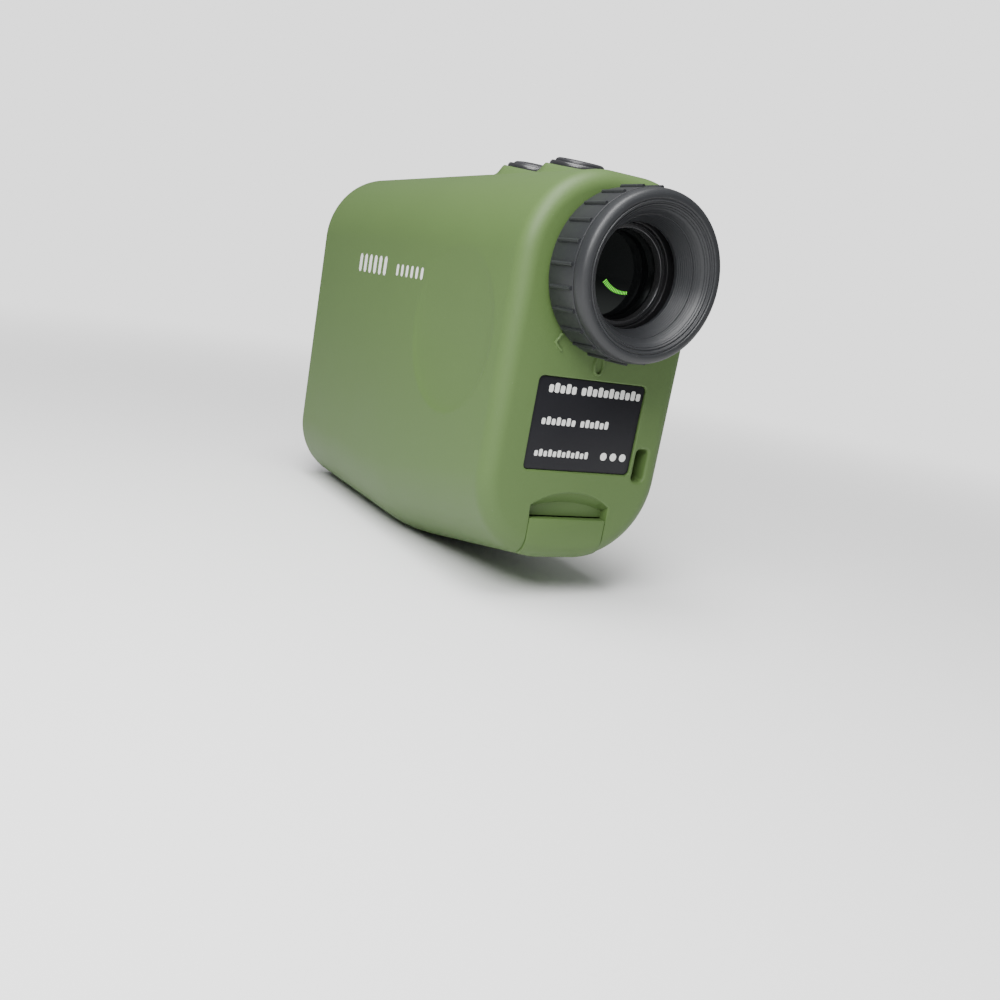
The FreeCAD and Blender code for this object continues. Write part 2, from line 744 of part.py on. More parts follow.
def front_optics():
    crown_back = f"({LENS_BACK} - 3.2)"
    pieces = [
        bezel("objective_ring", "dim.objective_radius", "dim.eye_height"),
        bezel("emitter_ring", "dim.laser_lens_radius", "dim.laser_height"),
        lens("objective_crown", crown_back, "dim.eye_height", "dim.objective_radius", "1.1", "1.3", "1.6"),
        lens("objective_flint", f"({crown_back} - 2.9)", "dim.eye_height", "dim.objective_radius",
             "0.3", "-1.3", "2.6"),
        lens("emitter_lens", f"({LENS_BACK} - 3.6)", "dim.laser_height", "dim.laser_lens_radius",
             "0.4", "1.3", "2.0"),
        optical_tube(),
        emitter_tube(),
    ]
    return pieces


def laser_source():
    """The diode in its can, pressed in behind the cone, and the small board that carries it."""
    back = f"({LENS_BACK} - 30)"
    diode = turned("laser_diode", back, "dim.laser_height", [
        ("-1.6", "0"), ("-1.6", "4.5"), ("-0.1", "4.5"), ("-0.1", "2.7"), ("2.6", "2.7"), ("2.6", "0"),
    ])
    board = across_box("diode_board", "7", (f"{back} - 2.8", f"{back} - 1.7"),
                       ("dim.laser_height - 7", "dim.laser_height + 7"))
    return [diode, board]


# ---------------------------------------------------------------------------------------------
# The prism box and the electronics


def prism_box():
    """An open-sided box that holds both prisms and the display between the two tubes."""
    inner = "(dim.prism_half + dim.prism_clear)"
    outer = f"({inner} + dim.chassis_wall)"
    start, stop = f"({REAR} + dim.chassis_start)", f"({REAR} + dim.chassis_end)"
    blank = box("chassis_blank", (f"-{inner}", outer), (start, stop),
                (f"dim.eye_height - {outer}", f"dim.eye_height + {outer}"))
    room = box("chassis_room", (f"-{outer} - 1", inner),
               (f"{start} + dim.chassis_wall", f"{stop} - dim.chassis_wall"),
               (f"dim.eye_height - {inner}", f"dim.eye_height + {inner}"))
    light = rod("chassis_light", "dim.prism_half - 1", "0", f"{start} - 1", "dim.eye_height",
                f"{stop} - {start} + 2")
    port = upright("chassis_port", "2.6", "0", f"{REAR} + 44", f"dim.eye_height - {outer} - 1", "4")
    chassis = cut("optical_chassis", blank, [room, light, port])
    lid = box("prism_cover", (f"-{inner} - 1.2", f"-{inner}"), (start, stop),
              (f"dim.eye_height - {outer}", f"dim.eye_height + {outer}"))
    screws = group("prism_cover_screws", [
        rod(f"cover_screw_{index}", "1.2", f"-{inner} - 2", y, z, "0.8", turn=(0, 1, 0, 90))
        for index, (y, z) in enumerate([
            (f"{start} + 2.5", f"dim.eye_height + {outer} - 2.5"),
            (f"{start} + 2.5", f"dim.eye_height - {outer} + 2.5"),
            (f"{stop} - 2.5", f"dim.eye_height + {outer} - 2.5"),
            (f"{stop} - 2.5", f"dim.eye_height - {outer} + 2.5"),
        ])
    ])
    return [chassis, lid, screws]


def prism(name, corners):
    body = place(new_body(name), y=f"{REAR} + dim.chassis_start", z="dim.eye_height")
    extrude("Pad", body, outline(body, "YZ_Plane", corners), "2 * dim.prism_half - 0.4", middle=True)
    return body


def prisms():
    half = "dim.prism_half"
    return [
        prism("prism_rear", [("7.5", f"-{half}"), ("21", f"-{half}"), ("27", half), ("7.5", half)]),
        prism("prism_front", [("21.6", f"-{half}"), ("35.5", f"-{half}"), ("35.5", half), ("27.6", half)]),
    ]


def display():
    """The small transparent display that draws the aiming mark and the reading."""
    return across_box("reticle_display", "dim.prism_half",
                      (f"{REAR} + dim.chassis_start + dim.chassis_wall + 1.4",
                       f"{REAR} + dim.chassis_start + dim.chassis_wall + 2.5"),
                      ("dim.eye_height - dim.prism_half", "dim.eye_height + dim.prism_half"))


def detector():
    """The light sensor under the prism box, in its can, and its board."""
    under = "(dim.eye_height - dim.prism_half - dim.prism_clear - dim.chassis_wall)"
    can = upright("detector_can", "4.1", "0", f"{REAR} + 44", f"{under} - 4.6", "4.5")
    board = across_box("detector_board", "8", (f"{REAR} + 35", f"{REAR} + 53"),
                       (f"{under} - 5.8", f"{under} - 4.7"))
    return [can, board]


def main_board():
    """The upright board on the right, with its parts and screws."""
    face = "(dim.body_width / 2 - dim.wall - 3.2)"
    board = box("main_board", (face, f"{face} + dim.board_thickness"), (f"{REAR} + 44", f"{REAR} + 79"),
                ("14", "54"))
    parts = group("main_board_parts", [
        box("processor", (f"{face} - 1.3", face), (f"{REAR} + 48", f"{REAR} + 58"), ("40", "50")),
        box("transformer", (f"{face} - 2.8", face), (f"{REAR} + 47", f"{REAR} + 55"), ("16", "24")),
        rod("storage_capacitor", "2.4", f"{face} - 2.45", f"{REAR} + 58", "34", "12"),
        box("board_socket", (f"{face} - 2", face), (f"{REAR} + 62", f"{REAR} + 70"), ("44", "48")),
    ])
    screws = group("main_board_screws", [
        rod(f"board_screw_{index}", "1.5", f"{face} - 1.1", y, z, "1", turn=(0, 1, 0, 90))
        for index, (y, z) in enumerate([
            (f"{REAR} + 52", "52"), (f"{REAR} + 76", "52"), (f"{REAR} + 76", "16"),
        ])
    ])
    return [board, parts, screws]


def flex_cable():
    """The ribbon from the main board up to the button board."""
    body = place(new_body("flex_cable"), y=f"{REAR} + 45.5")
    side, top, thin = "(dim.body_width / 2 - dim.wall - 3.6)", "71.5", "0.25"
    sketch = outline(body, "XZ_Plane", [
        (side, "51"), (f"{side} + {thin}", "51"), (f"{side} + {thin}", "68"),
        (f"{side} - 2.4", f"{top} + {thin}"),
        ("5", f"{top} + {thin}"), ("5", top), (f"{side} - 2.5", top), (side, "67.8"),
    ])
    extrude("Pad", body, sketch, "4", away=True)
    return body


def button_board():
    level = "(dim.eye_height + dim.prism_half + dim.prism_clear + dim.chassis_wall + 0.2)"
    board = across_box("button_board", "7", (f"{REAR} + dim.chassis_start + 0.4", f"{REAR} + 49.3"),
                       (level, f"{level} + dim.board_thickness"))
    switches = []
    for name, button_place in (("range_switch", "dim.range_place"), ("mode_switch", "dim.mode_place")):
        low = f"({level} + dim.board_thickness)"
        case = across_box(f"{name}_case", "3", (f"{REAR} + {button_place} - 3", f"{REAR} + {button_place} + 3"),
                          (low, f"{low} + 1.8"))
        plunger = upright(f"{name}_plunger", "1.5", "0", f"{REAR} + {button_place}", f"{low} + 1.8", "0.4")
        switches.append(fuse(name, [case, plunger]))
    return [board, *switches]


# ---------------------------------------------------------------------------------------------
# The eyepiece


def eyepiece_barrel():
    """The fixed tube that stands out through the rear face, flanged inside the wall."""
    groove = "(dim.barrel_radius - 2.2 * dim.seal_wire)"
    return turned("eyepiece_barrel", REAR, "dim.eye_height", [
        ("-dim.ring_split + 1.1", BARREL_BORE), ("-dim.ring_split + 1.1", "dim.barrel_radius"),
        ("-3.4", "dim.barrel_radius"), ("-3.4", groove), ("-2.4", groove), ("-2.4", "dim.barrel_radius"),
        ("dim.wall", "dim.barrel_radius"), ("dim.wall", FLANGE_RADIUS),
        ("dim.wall + dim.flange_thickness", FLANGE_RADIUS),
        ("dim.wall + dim.flange_thickness", "dim.barrel_radius"),
        ("dim.barrel_depth", "dim.barrel_radius"), ("dim.barrel_depth", BARREL_BORE),
    ])


def o_ring():
    """The rubber ring in the barrel's groove that gives the dioptre ring its drag."""
    ring = doc.addObject("Part::Torus", "dioptre_o_ring")
    ring.setExpression("Radius1", "dim.barrel_radius - 1.1 * dim.seal_wire")
    ring.setExpression("Radius2", "dim.seal_wire")
    ring.Placement.Rotation = FreeCAD.Rotation(FreeCAD.Vector(1, 0, 0), -90)
    return place(ring, y=f"{REAR} - 2.9", z="dim.eye_height")


def dioptre_ring():
    """The knurled ring that turns on the barrel, with raised ribs round it."""
    inner = CASE_BORE
    body = turned("dioptre_ring", REAR, "dim.eye_height", [
        ("-dim.ring_gap", inner), ("-dim.ring_gap", RING_RADIUS),
        ("-dim.ring_split", RING_RADIUS),
        ("-dim.ring_split", f"{SKIRT_RADIUS} + 0.3"), ("-dim.ring_split + 0.8", f"{SKIRT_RADIUS} + 0.3"),
        ("-dim.ring_split + 0.8", inner),
    ])
    rib_rear = "(-dim.ring_gap - dim.rib_start)"
    sketch = outline(body, "YZ_Plane", rectangle(
        f"{rib_rear} - dim.rib_length", rib_rear, f"{RING_RADIUS} - 0.4",
        f"{RING_RADIUS} + dim.rib_height"))
    rib = extrude("Pad", body, sketch, "dim.rib_width", middle=True)
    pattern = body.newObject("PartDesign::PolarPattern", "rib_pattern")
    pattern.Originals = [rib]
    pattern.Axis = (origin_part(body, "Y_Axis"), [""])
    pattern.Angle = 360
    pattern.setExpression("Occurrences", "dim.rib_count")
    body.Tip = pattern
    doc.recompute()
    return body


def eyecup():
    """The rubber cup that the eye rests against: a rounded lip, a fine bead and a conical wall."""
    reach = "-dim.eyepiece_reach"
    return turned("eyecup", REAR, "dim.eye_height", [
        ("-dim.ring_split", LIP_RADIUS), (f"{reach} + 1.4", LIP_RADIUS),
        (f"{reach} + 0.3", f"{LIP_RADIUS} - 0.5"), (reach, f"{LIP_RADIUS} - 1.3"),
        (reach, f"{MOUTH_RADIUS} + 0.2"), (f"{reach} + 0.6", f"{MOUTH_RADIUS} - 0.2"),
        (f"{reach} + 0.9", f"{MOUTH_RADIUS} - 1.1"), ("-dim.ring_split", f"{SKIRT_RADIUS} - 0.4"),
        ("-4.3", f"{SKIRT_RADIUS} - 1.2"),
        ("-4.3", SKIRT_RADIUS), ("-dim.ring_split", SKIRT_RADIUS),
    ])


def eyepiece_cell():
    """The sleeve that holds the eyepiece lenses and slides in the barrel to set the focus."""
    outer = f"({BARREL_BORE} - dim.fit_gap)"
    return turned("eyepiece_cell", REAR, "dim.eye_height", [
        ("-2.6", CELL_BORE), ("-2.6", outer), ("11", outer), ("11", f"{CELL_BORE} - 1"),
        ("10", f"{CELL_BORE} - 1"), ("10", CELL_BORE),
    ])


def eyepiece_optics():
    lens_radius = f"({CELL_BORE} - dim.fit_gap)"
    ring = turned("eye_lens_ring", REAR, "dim.eye_height", [
        ("-2", f"{lens_radius} - 0.9"), ("-2", lens_radius), ("-0.5", lens_radius), ("-0.5", f"{lens_radius} - 1.1"),
    ])
    spacer = turned("lens_spacer", REAR, "dim.eye_height", [
        ("3.65", f"{lens_radius} - 0.7"), ("3.65", lens_radius), ("6.1", lens_radius),
        ("6.1", f"{lens_radius} - 0.7"),
    ])
    eye = lens("eye_lens", f"{REAR} - 0.2", "dim.eye_height", lens_radius, "0.9", "1.6", "3.5")
    field = lens("field_lens", f"{REAR} + 6.3", "dim.eye_height", lens_radius, "0.8", "0.6", "3.5")
    return [ring, spacer, eye, field]


# ---------------------------------------------------------------------------------------------
# The buttons


def button(name, button_place):
    """A cap with a ring groove on a stem, pressed along its sloping boss's normal."""
    body = button_seat(new_body(name), button_place)
    top, radius = "dim.button_stand", "dim.button_radius"
    spin_up(body, [
        ("0", "-dim.stem_reach"), ("dim.stem_radius", "-dim.stem_reach"), ("dim.stem_radius", "-0.9"),
        (radius, "-0.9"), (radius, f"{top} - 0.4"), (f"{radius} - 0.5", top),
        (f"{radius} * 0.72", top), (f"{radius} * 0.66", f"{top} - 0.35"), (f"{radius} * 0.58", f"{top} - 0.35"),
        (f"{radius} * 0.52", f"{top} - 0.05"), ("0", f"{top} - 0.15"),
    ])
    return body


def button_bezel(name, button_place):
    body = button_seat(new_body(name), button_place)
    inner = "(dim.button_radius + dim.button_gap)"
    spin_up(body, [
        (inner, "-0.5"), (BUTTON_BEZEL, "-0.5"), (BUTTON_BEZEL, "dim.bezel_stand - 0.4"),
        (f"{BUTTON_BEZEL} - 0.35", "dim.bezel_stand"), (inner, "dim.bezel_stand"),
    ])
    return body


def buttons():
    return [
        button("range_button", "dim.range_place"), button_bezel("range_button_ring", "dim.range_place"),
        button("mode_button", "dim.mode_place"), button_bezel("mode_button_ring", "dim.mode_place"),
    ]


# ---------------------------------------------------------------------------------------------
# The label, and the battery with its tray, contacts and door


def label_plate():
    body = place(new_body("label_plate"), y=f"{REAR} + dim.label_sink - dim.label_thickness",
                 z="dim.label_middle")
    sketch = outline(body, "XZ_Plane", rounded_rectangle(
        "(dim.label_width / 2)", "(dim.label_height / 2)", "(dim.label_corner - dim.seat_gap)"))
    extrude("Pad", body, sketch, "dim.label_thickness", away=True)
    return body


def along_chin(item):
    """Lays an item along the sloping chin: its own Y runs down the slope from the rear edge."""
    tilt(item, f"-{CHIN_ANGLE}")
    return place(item, y=REAR, z="dim.chin_rise")


def battery():
    """One lithium cell, laid along the chin above the door."""
    body = along_chin(new_body("battery_cell"))
    level = "(dim.door_thickness + 0.4 + dim.cell_radius)"
    start, stop = "dim.cell_start", "(dim.cell_start + dim.cell_length)"
    sketch = circles(body, "XZ_Plane", [("0", level, "dim.cell_radius")])
    sketch.setExpression("AttachmentOffset.Base.z", f"-{start}")
    extrude("Pad", body, sketch, "dim.cell_length - 0.8", away=True)
    nub = circles(body, "XZ_Plane", [("0", level, "3.1")])
    nub.setExpression("AttachmentOffset.Base.z", f"-({stop} - 0.8)")
    extrude("Pad", body, nub, "0.8", away=True)
    return body


def battery_tray():
    """The moulded trough round the cell, open below where the door is."""
    body = along_chin(new_body("battery_tray"))
    room = "(dim.cell_radius + dim.cell_clear)"
    level = "(dim.door_thickness + 0.4 + dim.cell_radius)"
    outer = f"({room} + dim.tray_wall)"
    start, stop = "(dim.cell_start - 2)", "(dim.cell_start + dim.cell_length + 4.5)"
    floor = "(dim.wall + 1.5)"
    shell = outline(body, "XZ_Plane", [
        (f"-{outer}", floor), (outer, floor), (outer, level, HALF), (f"-{outer}", level),
    ])
    shell.setExpression("AttachmentOffset.Base.z", f"-{start}")
    extrude("Pad", body, shell, f"{stop} - {start}", away=True)
    hollow = outline(body, "XZ_Plane", [
        (f"-{room}", f"{floor} - 1"), (room, f"{floor} - 1"), (room, level, HALF), (f"-{room}", level),
    ])
    hollow.setExpression("AttachmentOffset.Base.z", f"-({start} + dim.tray_wall)")
    pocket(body, hollow, f"{stop} - {start} - 2 * dim.tray_wall")
    return body


def battery_contacts():
    level = "(dim.door_thickness + 0.4 + dim.cell_radius)"
    stop = "(dim.cell_start + dim.cell_length)"
    spring = along_chin(new_body("battery_spring"))
    sketch = outline(spring, "YZ_Plane", [
        ("dim.cell_start - 0.75", f"{level} - 5"), ("dim.cell_start - 0.45", f"{level} - 5"),
        ("dim.cell_start - 0.45", f"{level} - 3"), ("dim.cell_start - 0.05", level),
        ("dim.cell_start - 0.45", f"{level} + 3"), ("dim.cell_start - 0.45", f"{level} + 5"),
        ("dim.cell_start - 0.75", f"{level} + 5"), ("dim.cell_start - 0.75", f"{level} + 3"),
        ("dim.cell_start - 0.35", level), ("dim.cell_start - 0.75", f"{level} - 3"),
    ])
    extrude("Pad", spring, sketch, "7", middle=True)
    plate = along_chin(new_body("battery_contact"))
    plate_sketch = outline(plate, "YZ_Plane", [
        (f"{stop} + 0.1", f"{level} - 2"), (f"{stop} + 0.1", f"{level} + 2"),
        (f"{stop} + 2.7", f"{level} + 5"), (f"{stop} + 3.1", f"{level} + 5"),
        (f"{stop} + 3.1", f"{level} - 5"), (f"{stop} + 2.7", f"{level} - 5"),
    ])
    extrude("Pad", plate, plate_sketch, "8", middle=True)
    return [spring, plate]


def battery_door():
    """The L-shaped door that wraps round the chin, cut from the case's own outer form."""
    form, ends = case_form("door_form", "0", FRONT)
    round_edges(form, end_edges(form, ends[0]), "dim.rear_round")
    blank = door_block("door_blank", "dim.door_width / 2", "dim.door_thickness", "dim.door_top",
                       f"({HINGE_Y} - 2)")
    skin = doc.addObject("Part::MultiCommon", "door_skin")
    skin.Shapes = [form, blank]
    arm = new_body("door_arm")
    low, high = "(dim.hinge_height - dim.knuckle_radius)", "(dim.hinge_height + dim.knuckle_radius)"
    root = f"({HINGE_Y} - 4.5)"
    sketch = outline(arm, "YZ_Plane", [
        (HINGE_Y, low, HALF), (HINGE_Y, high),
        (root, f"{chin_surface('dim.hinge_place - 4.5', 'dim.door_thickness')} - 0.1"),
        (root, f"{chin_surface('dim.hinge_place - 4.5', '0')} + 0.3"),
    ])
    extrude("Pad", arm, sketch, "2 * dim.knuckle_half", middle=True)
    whole = fuse("door_whole", [skin, arm])
    bore = rod("door_bore", "dim.pin_radius + dim.fit_gap", "-dim.knuckle_half - 1", HINGE_Y, "dim.hinge_height",
               "2 * dim.knuckle_half + 2", turn=(0, 1, 0, 90))
    return cut("battery_door", whole, [bore])


def hinge_pin():
    half = "(dim.ear_half - 0.3)"
    return rod("door_hinge_pin", "dim.pin_radius", f"-{half}", HINGE_Y, "dim.hinge_height", f"2 * {half}",
               turn=(0, 1, 0, 90))


# ---------------------------------------------------------------------------------------------
# Everything is made, checked and written


def build():
    pieces = [housing(), front_cover(), front_gasket(), front_screws(), *front_optics(), *laser_source()]
    pieces += [*prism_box(), *prisms(), display(), *detector(), *main_board(), flex_cable(), *button_board()]
    pieces += [eyepiece_barrel(), o_ring(), dioptre_ring(), eyecup(), eyepiece_cell(), *eyepiece_optics()]
    pieces += [*buttons(), label_plate(), battery(), battery_tray(), *battery_contacts()]
    pieces += [battery_door(), hinge_pin()]
    doc.recompute()
    return pieces


def check(pieces):
    failed = [item.Label for item in doc.Objects if {"Invalid", "Error"} & set(item.State)]
    if failed:
        raise RuntimeError(f"failed objects: {failed}")
    for piece in pieces:
        if piece.Shape.isNull() or not piece.Shape.isValid() or not piece.Shape.Solids:
            raise RuntimeError(f"{piece.Label} has no sound shape")


made = build()
check(made)
os.makedirs("parts", exist_ok=True)
for piece in made:
    piece.Shape.exportStep(f"parts/{piece.Label}.step")
    print(f"{piece.Label}: {len(piece.Shape.Solids)} solid(s), {piece.Shape.Volume:.1f} mm3")
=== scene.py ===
"""A handheld monocular laser rangefinder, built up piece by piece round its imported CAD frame."""

import math

import bmesh
import bpy
import numpy as np
from mathutils import Matrix, Vector
from mathutils.geometry import delaunay_2d_cdt


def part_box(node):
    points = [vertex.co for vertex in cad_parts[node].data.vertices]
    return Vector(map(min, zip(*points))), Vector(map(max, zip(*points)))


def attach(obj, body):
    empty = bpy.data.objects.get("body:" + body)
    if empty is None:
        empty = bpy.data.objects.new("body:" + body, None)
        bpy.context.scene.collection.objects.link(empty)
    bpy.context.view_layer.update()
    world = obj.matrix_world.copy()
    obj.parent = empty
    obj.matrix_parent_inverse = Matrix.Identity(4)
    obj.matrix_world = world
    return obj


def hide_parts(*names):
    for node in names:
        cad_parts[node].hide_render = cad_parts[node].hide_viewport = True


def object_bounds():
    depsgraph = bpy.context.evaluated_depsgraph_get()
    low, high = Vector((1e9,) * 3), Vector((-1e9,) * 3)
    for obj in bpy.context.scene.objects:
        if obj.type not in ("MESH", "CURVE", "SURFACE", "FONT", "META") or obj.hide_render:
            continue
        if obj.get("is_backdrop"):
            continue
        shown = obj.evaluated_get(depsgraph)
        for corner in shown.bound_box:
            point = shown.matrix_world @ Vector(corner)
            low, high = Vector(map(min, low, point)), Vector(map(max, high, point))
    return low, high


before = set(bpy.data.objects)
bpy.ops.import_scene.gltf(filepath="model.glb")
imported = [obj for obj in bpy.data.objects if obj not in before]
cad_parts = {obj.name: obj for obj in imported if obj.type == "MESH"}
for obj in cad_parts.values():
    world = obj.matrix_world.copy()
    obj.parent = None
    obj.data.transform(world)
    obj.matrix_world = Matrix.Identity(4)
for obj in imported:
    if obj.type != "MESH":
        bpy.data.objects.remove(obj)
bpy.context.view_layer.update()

# ---------------------------------------------------------------------------------------------
# The camera and the light. A small object on a pale table, seen from behind its left shoulder,
# with one large soft light overhead and a small near one behind its left side.

camera_data = bpy.data.cameras.new("camera")
camera_data.sensor_width = 36.0
camera_data.lens = 34.71
camera_data.shift_x = 0.08
camera_data.clip_start = 0.01
camera = bpy.data.objects.new("camera", camera_data)
bpy.context.collection.objects.link(camera)
look = Vector((0.45219669, 0.86314263, -0.22472861))
look_right = Vector((0.89106428, -0.42616559, 0.15616449))
look_up = Vector((-0.03902063, 0.2708647, 0.96182623))
camera.matrix_world = (
    Matrix.Translation((-0.10570, -0.18541, 0.05553))
    @ Matrix((look_right, look_up, -look)).transposed().to_4x4()
)
bpy.context.scene.camera = camera

world = bpy.data.worlds.new("room")
bpy.context.scene.world = world
world.use_nodes = True
room_light = world.node_tree.nodes["Background"]
room_light.inputs["Color"].default_value = (0.98, 0.99, 1.0, 1.0)
room_light.inputs["Strength"].default_value = 0.30
# The paper behind is lit on its own: it looks pale to the camera and adds little light.
backdrop, seen, blend = (world.node_tree.nodes.new(kind) for kind in (
    "ShaderNodeBackground", "ShaderNodeLightPath", "ShaderNodeMixShader"))
backdrop.inputs["Color"].default_value = (1.0, 1.0, 1.0, 1.0)
backdrop.inputs["Strength"].default_value = 1.9
world.node_tree.links.new(seen.outputs["Is Camera Ray"], blend.inputs["Fac"])
world.node_tree.links.new(room_light.outputs["Background"], blend.inputs[1])
world.node_tree.links.new(backdrop.outputs["Background"], blend.inputs[2])
world.node_tree.links.new(blend.outputs["Shader"], world.node_tree.nodes["World Output"].inputs["Surface"])


def soft_light(name, place, aim, size, power, tint=(1.0, 1.0, 1.0)):
    """A square soft box at a place, turned towards a point."""
    lamp = bpy.data.lights.new(name, "AREA")
    lamp.shape, lamp.size, lamp.energy, lamp.color = "SQUARE", size, power, tint
    item = bpy.data.objects.new(name, lamp)
    bpy.context.collection.objects.link(item)
    item.location = place
    item.rotation_euler = (Vector(aim) - Vector(place)).to_track_quat("-Z", "Y").to_euler()
    return item


case_centre = (0.0, 0.0, 0.045)
soft_light("overhead_box", (-0.12, -0.10, 0.62), case_centre, 0.36, 6.4)
soft_light("rear_left_box", (-0.16, -0.16, 0.20), case_centre, 0.13, 1.12)

# The table top, well under the object and wide enough to fill the view.
floor_mesh = bpy.data.meshes.new("table_top")
floor_mesh.from_pydata([(-40, -40, 0), (40, -40, 0), (40, 40, 0), (-40, 40, 0)], [], [(0, 1, 2, 3)])
floor = bpy.data.objects.new("table_top", floor_mesh)
bpy.context.collection.objects.link(floor)
floor_paint = bpy.data.materials.new("pale_table")
floor_paint.use_nodes = True
floor_shader = floor_paint.node_tree.nodes["Principled BSDF"]
floor_shader.inputs["Base Color"].default_value = (0.80, 0.80, 0.80, 1.0)
floor_shader.inputs["Roughness"].default_value = 0.75
# Away from the object the table runs out into the pale paper behind it.
floor_nodes, floor_links = floor_paint.node_tree.nodes, floor_paint.node_tree.links
floor_place, reach, fade, paper, runout = (floor_nodes.new(kind) for kind in (
    "ShaderNodeTexCoord", "ShaderNodeVectorMath", "ShaderNodeMapRange", "ShaderNodeEmission",
    "ShaderNodeMixShader"))
floor_camera, only_seen = floor_nodes.new("ShaderNodeLightPath"), floor_nodes.new("ShaderNodeMath")
reach.operation, only_seen.operation = "LENGTH", "MULTIPLY"
fade.interpolation_type = "SMOOTHSTEP"
fade.inputs["From Min"].default_value, fade.inputs["From Max"].default_value = 0.04, 0.50
paper.inputs["Strength"].default_value = 1.9
floor_links.new(floor_place.outputs["Object"], reach.inputs[0])
floor_links.new(reach.outputs["Value"], fade.inputs["Value"])
floor_links.new(fade.outputs["Result"], only_seen.inputs[0])
floor_links.new(floor_camera.outputs["Is Camera Ray"], only_seen.inputs[1])
floor_links.new(only_seen.outputs[0], runout.inputs["Fac"])
floor_links.new(floor_shader.outputs["BSDF"], runout.inputs[1])
floor_links.new(paper.outputs["Emission"], runout.inputs[2])
floor_links.new(runout.outputs["Shader"], floor_nodes["Material Output"].inputs["Surface"])
floor_mesh.materials.append(floor_paint)
floor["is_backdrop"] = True

# ---------------------------------------------------------------------------------------------
# The moulded case. A hollow olive green shell in glass-filled nylon, moulded in one, open at the
# front for its cover plate. Every outer edge is rounded, the underside rises at the rear, and its
# grained skin is dull with a soft sheen.

MM = 0.001
case_low, case_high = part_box("housing")
rear_y = case_low.y / MM
case_length = (case_high.y - case_low.y) / MM
case_half = case_high.x / MM
case_top, top_drop = 78.0, 0.6
foot_round, crown_round = 15.8, 16.2
rear_round, front_round = 3.2, 2.3
chin_rise, chin_length, chin_bend, base_trim = 8.4, 42.0, 60.0, 0.6
wall = 2.2
opening_half, opening_end = 8.7, 42.3
eye_height = 61.0
boss_tilt = math.tan(math.radians(7.0))
button_places = {"range": 18.0, "mode": 33.5}
boss_crest, boss_reach, boss_ramp, boss_half = 1.4, 5.9, 3.2, 5.6
scoop_along, scoop_up, scoop_long, scoop_tall, scoop_deep = 21.5, 46.5, 15.8, 15.6, 0.95
strap_near, strap_far, strap_low, strap_high = 4.25, 7.0, 23.95, 30.25
slot_x, slot_z, slot_half, slot_reach, slot_corner = 14.1, 27.1, 1.375, 3.125, 0.85
label_up, label_half, label_reach, label_corner = 33.56, 11.85, 8.5, 1.0
bore_radius = 12.05


def underside(along):
    """Height of the underside's middle line: a slope at the rear, bent over into the flat base."""
    slope = math.atan(chin_rise / chin_length)
    run = chin_bend * math.tan(slope / 2)
    meet = chin_length + base_trim / math.tan(slope)
    if along > meet + run:
        return -base_trim
    if along > meet - run * math.cos(slope):
        return chin_bend - base_trim - math.sqrt(chin_bend**2 - (meet + run - along) ** 2)
    return chin_rise * (1 - along / chin_length)


def case_outline(along, inset):
    """Points (x, z) once round the case at a distance from its rear, drawn inside its skin by an inset."""
    low, top = underside(along) + inset, case_top - top_drop * along / case_length - inset
    foot, crown = foot_round - inset, crown_round - inset
    foot_x, crown_x = case_half - foot_round, case_half - crown_round
    door_turn = math.asin((opening_half - foot_x) / foot)
    turns = [*np.linspace(0, door_turn, 9), *np.linspace(door_turn, math.pi / 2, 23)[1:]]
    half = [(x, low) for x in np.linspace(0, foot_x, 6)[:-1]]
    half += [(foot_x + foot * math.sin(a), low + foot - foot * math.cos(a)) for a in turns]
    side = case_half - inset
    half += [(side, z) for z in np.linspace(low + foot, 24.5, 9)[1:]]
    half += [(side, z) for z in np.linspace(24.5, 61.0, 74)[1:]]
    falls = [*np.linspace(math.pi / 2, 0.40, 31), *np.linspace(0.40, 0, 17)[1:]]
    half += [(crown_x + crown * math.sin(a), top - crown + crown * math.cos(a)) for a in falls]
    half += [(x, top) for x in np.linspace(crown_x, 0, 9)[1:]]
    return half + [(-x, z) for x, z in reversed(half[1:-1])]


def smooth_most(a, b, blend):
    """The greater of two heights, with the crease between them rounded off."""
    return 0.5 * (a + b + np.sqrt((a - b) ** 2 + blend**2) - blend * np.exp(-np.abs(a - b)))


def boss_height(x, along):
    """The two raised wedges that carry the buttons: a short ramp in front and a long fall behind."""
    found = np.full_like(x, -5.0)
    for place in button_places.values():
        crest = place + boss_reach - 0.10 * x**2
        ramp = boss_crest - (along - crest) * (boss_crest + 0.8) / boss_ramp
        fall = boss_crest - (crest - along) * boss_tilt
        ridge = -smooth_most(-ramp, -fall, 0.22)
        found = np.maximum(found, ridge)
    found = found - 0.5 * np.maximum(7.0 - along, 0) ** 2
    return case_top + found - 0.42 * np.maximum(np.abs(x) - boss_half, 0) ** 2


def scoop_depth(along, z):
    """The dished thumb hold: a crisp lower edge that fades out upwards and forwards."""
    across, up = (along - scoop_along) / scoop_long, (z - scoop_up) / scoop_tall
    inside = np.clip(1 - across**2 - up**2, 0, 1)
    fade = np.clip(1 - (up + 0.15) / 1.1, 0, 1)
    return scoop_deep * inside ** 0.62 * (0.35 + 0.65 * fade)


def case_skin(points):
    """Moves points (x, along, z) of the plain case on to its bosses, thumb holds and flat base."""
    x, along, z = points.T
    raised = np.where(z > 60, smooth_most(z, boss_height(x, along), 0.3), z)
    dish = np.where(np.abs(x) > case_half - 0.01, scoop_depth(along, z), 0)
    return np.column_stack([x - np.sign(x) * dish, along, np.maximum(raised, 0)])


def smooth_by_angle(item, degrees=32):
    """Smooth shading, with edges sharper than an angle kept crisp."""
    for face in item.data.polygons:
        face.use_smooth = True
    item.data.set_sharp_from_angle(angle=math.radians(degrees))
    return item


